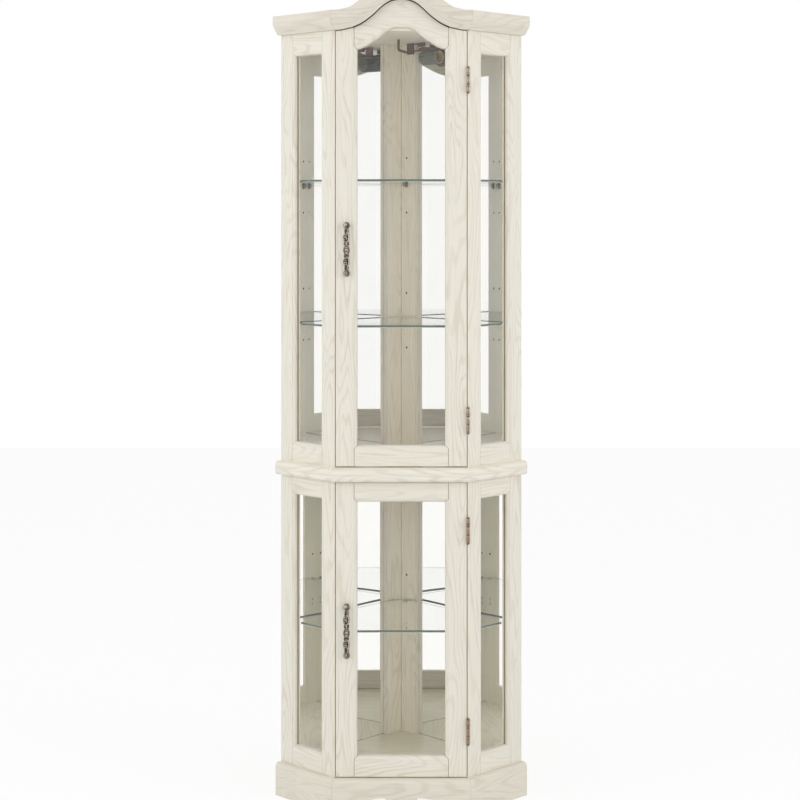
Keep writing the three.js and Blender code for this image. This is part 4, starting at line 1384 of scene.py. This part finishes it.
class CABINET_OT_hinges(bpy.types.Operator):
    """Make the four butt hinges, with screws in their leaves"""

    bl_idname = "cabinet.hinges"
    bl_label = "Hinges"

    # The lower section's hinges are a little darker and warmer
    tones = {"lower": (0.92, 0.84, 0.76), "upper": (1.0, 1.0, 1.0)}

    def execute(self, context):
        metals = context.scene.cabinet_metal
        for section in SECTIONS:
            tone = self.tones[section]
            for place in ("bottom", "top"):
                name = f"{section}_{place}_hinge"
                low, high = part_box(f"{name}_frame_leaf")
                corner = Vector((FRONT_HALF_WIDTH, DOOR_FRONT, (low[2] + high[2]) / 2))
                barrel = corner + Vector((Leaf.standoff * MM * math.sin(SIDE_TURN / 2), 0, 0))
                bronze = metal(
                    f"Bronze {name}", scaled(tone, metals.hinge), scaled(tone, metals.hinge_dark),
                    wear=0.7, metallic=0.7, relief_group=hinge_group(), middle=barrel,
                )
                turn = Matrix.Rotation(SIDE_TURN / 2, 4, "Z")
                matrix = Matrix.Translation(corner) @ turn @ Matrix.Scale(MM, 4)
                fixed = Leaf(matrix)
                fixed.make(1, (0, 2))
                moving = Leaf(matrix)
                moving.make(-1, (1,))
                moving.pin()
                pairs = ((fixed, "frame_leaf", "root"), (moving, "door_leaf", f"{section}_door"))
                for leaf, kind, body in pairs:
                    node = f"{name}_{kind}"
                    leaf.finish(f"{node}_finished", bronze, body, "bronze", node)
        return {"FINISHED"}


class CABINET_OT_lamp(bpy.types.Operator):
    """Make the lamp socket, its bracket and its lead"""

    bl_idname = "cabinet.lamp"
    bl_label = "Lamp holder"

    # Everything of the lamp holder is in millimetres from the middle of the socket's mouth
    length = 57.0
    ribs = 14

    # The socket's skin from inside its mouth to the nub: radius, height, depth of the ribs
    skin = (
        (13.6, 28.0, 0), (13.6, 0.3, 0), (14.3, 0.0, 0), (14.6, 0.6, 0), (14.8, 4.5, 0),
        (16.2, 5.0, 0), (16.4, 8.0, 0), (15.6, 8.8, 1.1), (15.6, 54.4, 1.1), (15.0, 55.0, 0.9),
        (3.4, 55.3, 0), (3.2, 60.6, 0), (2.6, 61.0, 0),
    )

    # The threaded shell: its two radii, the thread's depth, its start, length and steps
    shell_radii = (13.5, 12.9)
    thread = 0.5
    shell_start = 1.2
    shell_length = 26.4
    shell_steps = 44
    steps_a_turn = 8
    contact = ((4.5, 27.9), (4.4, 25.6), (3.6, 25.2))

    # The bracket: a strap with a turned-up flange, a lug to the ceiling, its tongue, and
    # the lead's clip with a rivet
    strap = ((-6, -7, 17.1), (84, 7, 18.7))
    flange = ((-6, 16.4), (84, 16.4), (84, 18.8), (66, 20.2), (50, 26.4), (42, 25.6), (-6, 20.4))
    flange_faces = (-8.4, -7.1)
    lug = ((44, -9.4, 26.6), (64, -3.4, 35.6))
    tongue = ((64.3, -7.0, 32.0), (75.2, -5.6, 35.4))
    clip = ((75.5, -13.0, 10.2), (95.5, -8.0, 35.6))
    rivet = ((3.4, -13.1), (3.4, -13.9), (2.6, -14.4))
    rivet_place = (85.5, 19.5)

    # The lead: where it meets the clip, its radius and its bend
    lead_end = (94.6, -10.5, 14.6)
    lead_radius = 3.0
    lead_bend = 9.0
    bend_steps = 8

    def body(self, shape):
        """A ribbed barrel with a plain rim and a nub at its closed end."""
        rows = []
        for radius, height, rib in self.skin:
            ribbed = [(a, radius + rib * math.cos(self.ribs * a)) for a in turns(self.ribs * 6)]
            rows.append([(r * math.cos(a), r * math.sin(a), height) for a, r in ribbed])
        shape.rings(rows)

    def shell(self, shape):
        """The threaded brass shell inside the mouth, and the contact at its end."""
        outside, inside = self.shell_radii
        outer = []
        inner = []
        for k in range(self.shell_steps + 1):
            height = self.shell_start + self.shell_length * k / self.shell_steps
            wave = (1 + math.cos(2 * math.pi * k / self.steps_a_turn)) / 2
            outer.append((outside, height))
            inner.append((inside - self.thread * wave, height))
        profile = outer + list(reversed(inner))
        rows = [[(x, y, height) for x, y in round_row(radius, 32)] for radius, height in profile]
        shape.rings(rows, closed=True)
        shape.lathe(self.contact, 20)

    def bracket(self, shape):
        """A strap over the socket with a turned-up flange, a ceiling lug and a lead clip."""
        shape.block(*self.strap)
        shape.plate(self.flange, *self.flange_faces)
        for box in (self.lug, self.tongue, self.clip):
            shape.block(*box)
        shape.disc(self.rivet, 14, *self.rivet_place)

    def lead(self, shape, local):
        """From the hole in the ceiling down and round into the clip."""
        radius = self.lead_radius * MM
        low = Vector(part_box("lamp_lead")[0])
        end = local @ Vector(self.lead_end)
        corner = Vector((low.x + radius, low.y + radius, end.z - radius))
        start = Vector((corner.x, corner.y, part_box("ceiling_board")[0][2]))
        bend = self.lead_bend * MM
        level = (end - corner).normalized()
        path = [start, (start + corner) / 2]
        for k in range(self.bend_steps + 1):
            turn = k / self.bend_steps
            before = corner + Vector((0, 0, bend * (1 - turn)))
            after = corner + level * bend * turn
            path.append(before.lerp(after, turn))
        path += [corner.lerp(end, 0.5), end]
        shape.tube(path, radius, 12)

    def execute(self, context):
        metals = context.scene.cabinet_metal
        plastics = context.scene.cabinet_plastic
        low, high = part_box("lamp_socket")
        ahead = Vector((-math.cos(SIDE_TURN), math.sin(SIDE_TURN), 0))
        across = Vector((math.cos(SIDE_TURN), math.sin(SIDE_TURN), 0))
        mouth = (Vector(low) + Vector(high)) / 2 - ahead * (self.length / 2 * MM)
        turn = ahead.to_track_quat("Z", "Y").to_matrix().to_4x4()
        matrix = Matrix.Translation(mouth) @ turn @ Matrix.Scale(MM, 4)
        axes = Matrix((ahead, across, (0, 0, 1))).transposed().to_4x4()
        local = Matrix.Translation(mouth) @ axes @ Matrix.Scale(MM, 4)

        barrel = Shape(matrix)
        self.body(barrel)
        grey = moulded("Socket body", plastics.socket, 0.45)
        barrel.finish("lamp_socket_barrel", grey, "root", "socket", "lamp_socket")

        shell = Shape(matrix)
        self.shell(shell)
        dull = scaled(0.6, metals.brass)
        brass = metal("Screw shell", metals.brass, dull, wear=0.4, metallic=0.1)
        shell.finish("lamp_socket_shell", brass, "root", "socket")

        bracket = Shape(local)
        self.bracket(bracket)
        rust = scaled(0.5, metals.bracket)
        steel = metal("Lamp bracket", metals.bracket, rust, wear=0.5, metallic=0.15)
        piece = bracket.finish("lamp_bracket_finished", steel, "root", "steel", "lamp_bracket")
        ease_edges(piece, 0.3 * MM)

        lead = Shape()
        self.lead(lead, local)
        rubber = moulded("Lead", plastics.lead, 0.5)
        lead.finish("lamp_lead_finished", rubber, "root", "socket", "lamp_lead")
        return {"FINISHED"}


class CABINET_OT_catches(bpy.types.Operator):
    """Finish the door catches and their strike plates"""

    bl_idname = "cabinet.catches"
    bl_label = "Catches"

    def execute(self, context):
        plate = steel_material("Strike plate")
        block = moulded("Catch", context.scene.cabinet_plastic.catch, 0.45)
        for section in SECTIONS:
            refine(f"{section}_door_catch", "plastic", [block], 0.8 * MM)
            refine(f"{section}_door_strike_plate", "steel", [plate], TIGHT_EDGE)
        return {"FINISHED"}


class CABINET_OT_stage(bpy.types.Operator):
    """Set up the floor, the light and the camera"""

    bl_idname = "cabinet.stage"
    bl_label = "Stage"

    # Lamps: name, place, what they point at, size, power as a share of the setting, and
    # whether mirrors and glass show them
    lamps = (
        ("Left", (-3.0, -1.7, 1.9), (0, 0, 0.95), 1.8, 1.0, True),
        ("Right", (3.0, -1.7, 1.7), (0, 0, 0.95), 1.8, 0.9, True),
        ("Front", (0, -4.6, 1.5), (0, 0, 0.9), 1.4, 0.42, False),
    )

    # The floor: half its width, its colour, and its white for mirrors, glass and the camera
    floor_size = 6.0
    floor_colour = (0.86, 0.86, 0.86)
    floor_white = 1.03
    floor_seen_white = 0.84

    # The camera's sensor width in millimetres, and how far it sees in metres
    sensor = 36
    far = 50

    def white_for_looks(self, tree, direct=1.0):
        """One where a mirror or glass looks, less for the camera's own look if need be,
        and zero where light is gathered."""
        path = tree.outputs(tree.node("ShaderNodeLightPath"))
        relayed = tree.math("MAXIMUM", path["Is Glossy Ray"], path["Is Transmission Ray"])
        return tree.math("MAXIMUM", path["Is Camera Ray"] * direct, relayed)

    def floor(self, context):
        size = self.floor_size
        corners = [(-size, -size, 0), (size, -size, 0), (size, size, 0), (-size, size, 0)]
        mesh = bpy.data.meshes.new("floor")
        mesh.from_pydata(corners, [], [(0, 1, 2, 3)])
        floor = bpy.data.objects.new("floor", mesh)
        context.scene.collection.objects.link(floor)
        finish = Finish("Floor")
        finish.feed(Base_Color=self.floor_colour, Roughness=0.9)
        glow = finish.node("ShaderNodeEmission")
        finish.put(glow.inputs["Strength"], self.floor_white)
        finish.cover(self.white_for_looks(finish, self.floor_seen_white), glow)
        mesh.materials.append(finish.material)

    def world(self, context):
        world = bpy.data.worlds.new("Studio")
        world.use_nodes = True
        context.scene.world = world
        tree = Tree(world.node_tree)
        sky = world.node_tree.nodes["Background"].inputs
        tree.put(sky["Color"], (1, 1, 1))
        ambient = context.scene.cabinet_stage.ambient
        tree.put(sky["Strength"], tree.span(self.white_for_looks(tree), ambient, 1.0))

    def light(self, context, name, place, target, size, power, shown):
        data = bpy.data.lights.new(name, "AREA")
        data.shape = "DISK"
        data.size = size
        data.energy = power * context.scene.cabinet_stage.key
        lamp = bpy.data.objects.new(name, data)
        lamp.location = place
        aim = Vector(target) - Vector(place)
        lamp.rotation_euler = aim.to_track_quat("-Z", "Y").to_euler()
        lamp.visible_glossy = shown
        lamp.visible_transmission = shown
        context.scene.collection.objects.link(lamp)

    def camera(self, context):
        settings = context.scene.cabinet_stage
        data = bpy.data.cameras.new("Camera")
        data.lens = settings.focal
        data.sensor_width = self.sensor
        data.shift_x = settings.shift_x
        data.shift_y = settings.shift_y
        data.clip_end = self.far
        camera = bpy.data.objects.new("Camera", data)
        camera.location = (0, DOOR_FRONT - settings.distance, settings.height)
        camera.rotation_euler = (math.radians(90), 0, 0)
        context.scene.collection.objects.link(camera)
        context.scene.camera = camera

    def execute(self, context):
        context.scene.view_settings.view_transform = "Standard"
        self.camera(context)
        self.world(context)
        self.floor(context)
        for lamp in self.lamps:
            self.light(context, *lamp)
        return {"FINISHED"}


OPERATORS = (
    CABINET_OT_stage, CABINET_OT_doors, CABINET_OT_side_frames, CABINET_OT_posts,
    CABINET_OT_boards, CABINET_OT_back, CABINET_OT_mirrors, CABINET_OT_panes, CABINET_OT_pulls,
    CABINET_OT_hinges, CABINET_OT_lamp, CABINET_OT_catches,
)
SETTINGS = (
    ("cabinet_wood", CabinetWood), ("cabinet_glass", CabinetGlass),
    ("cabinet_metal", CabinetMetal), ("cabinet_plastic", CabinetPlastic),
    ("cabinet_stage", CabinetStage),
)


class CABINET_PT_panel(bpy.types.Panel):
    """Lists the cabinet's pieces and settings"""

    bl_idname = "CABINET_PT_panel"
    bl_label = "Corner cabinet"
    bl_space_type = "VIEW_3D"
    bl_region_type = "UI"
    bl_category = "Cabinet"

    def draw(self, context):
        for operator in OPERATORS:
            self.layout.operator(operator.bl_idname)
        for name, group in SETTINGS:
            box = self.layout.box()
            for field in group.__annotations__:
                box.prop(getattr(context.scene, name), field)


def register():
    for name, group in SETTINGS:
        bpy.utils.register_class(group)
        setattr(bpy.types.Scene, name, bpy.props.PointerProperty(type=group))
    for operator in OPERATORS:
        bpy.utils.register_class(operator)
    bpy.utils.register_class(CABINET_PT_panel)


def unregister():
    bpy.utils.unregister_class(CABINET_PT_panel)
    for operator in reversed(OPERATORS):
        bpy.utils.unregister_class(operator)
    for name, group in reversed(SETTINGS):
        delattr(bpy.types.Scene, name)
        bpy.utils.unregister_class(group)


def main():
    register()
    for operator in OPERATORS:
        section, action = operator.bl_idname.split(".")
        getattr(getattr(bpy.ops, section), action)()


if __name__ == "__main__":
    main()
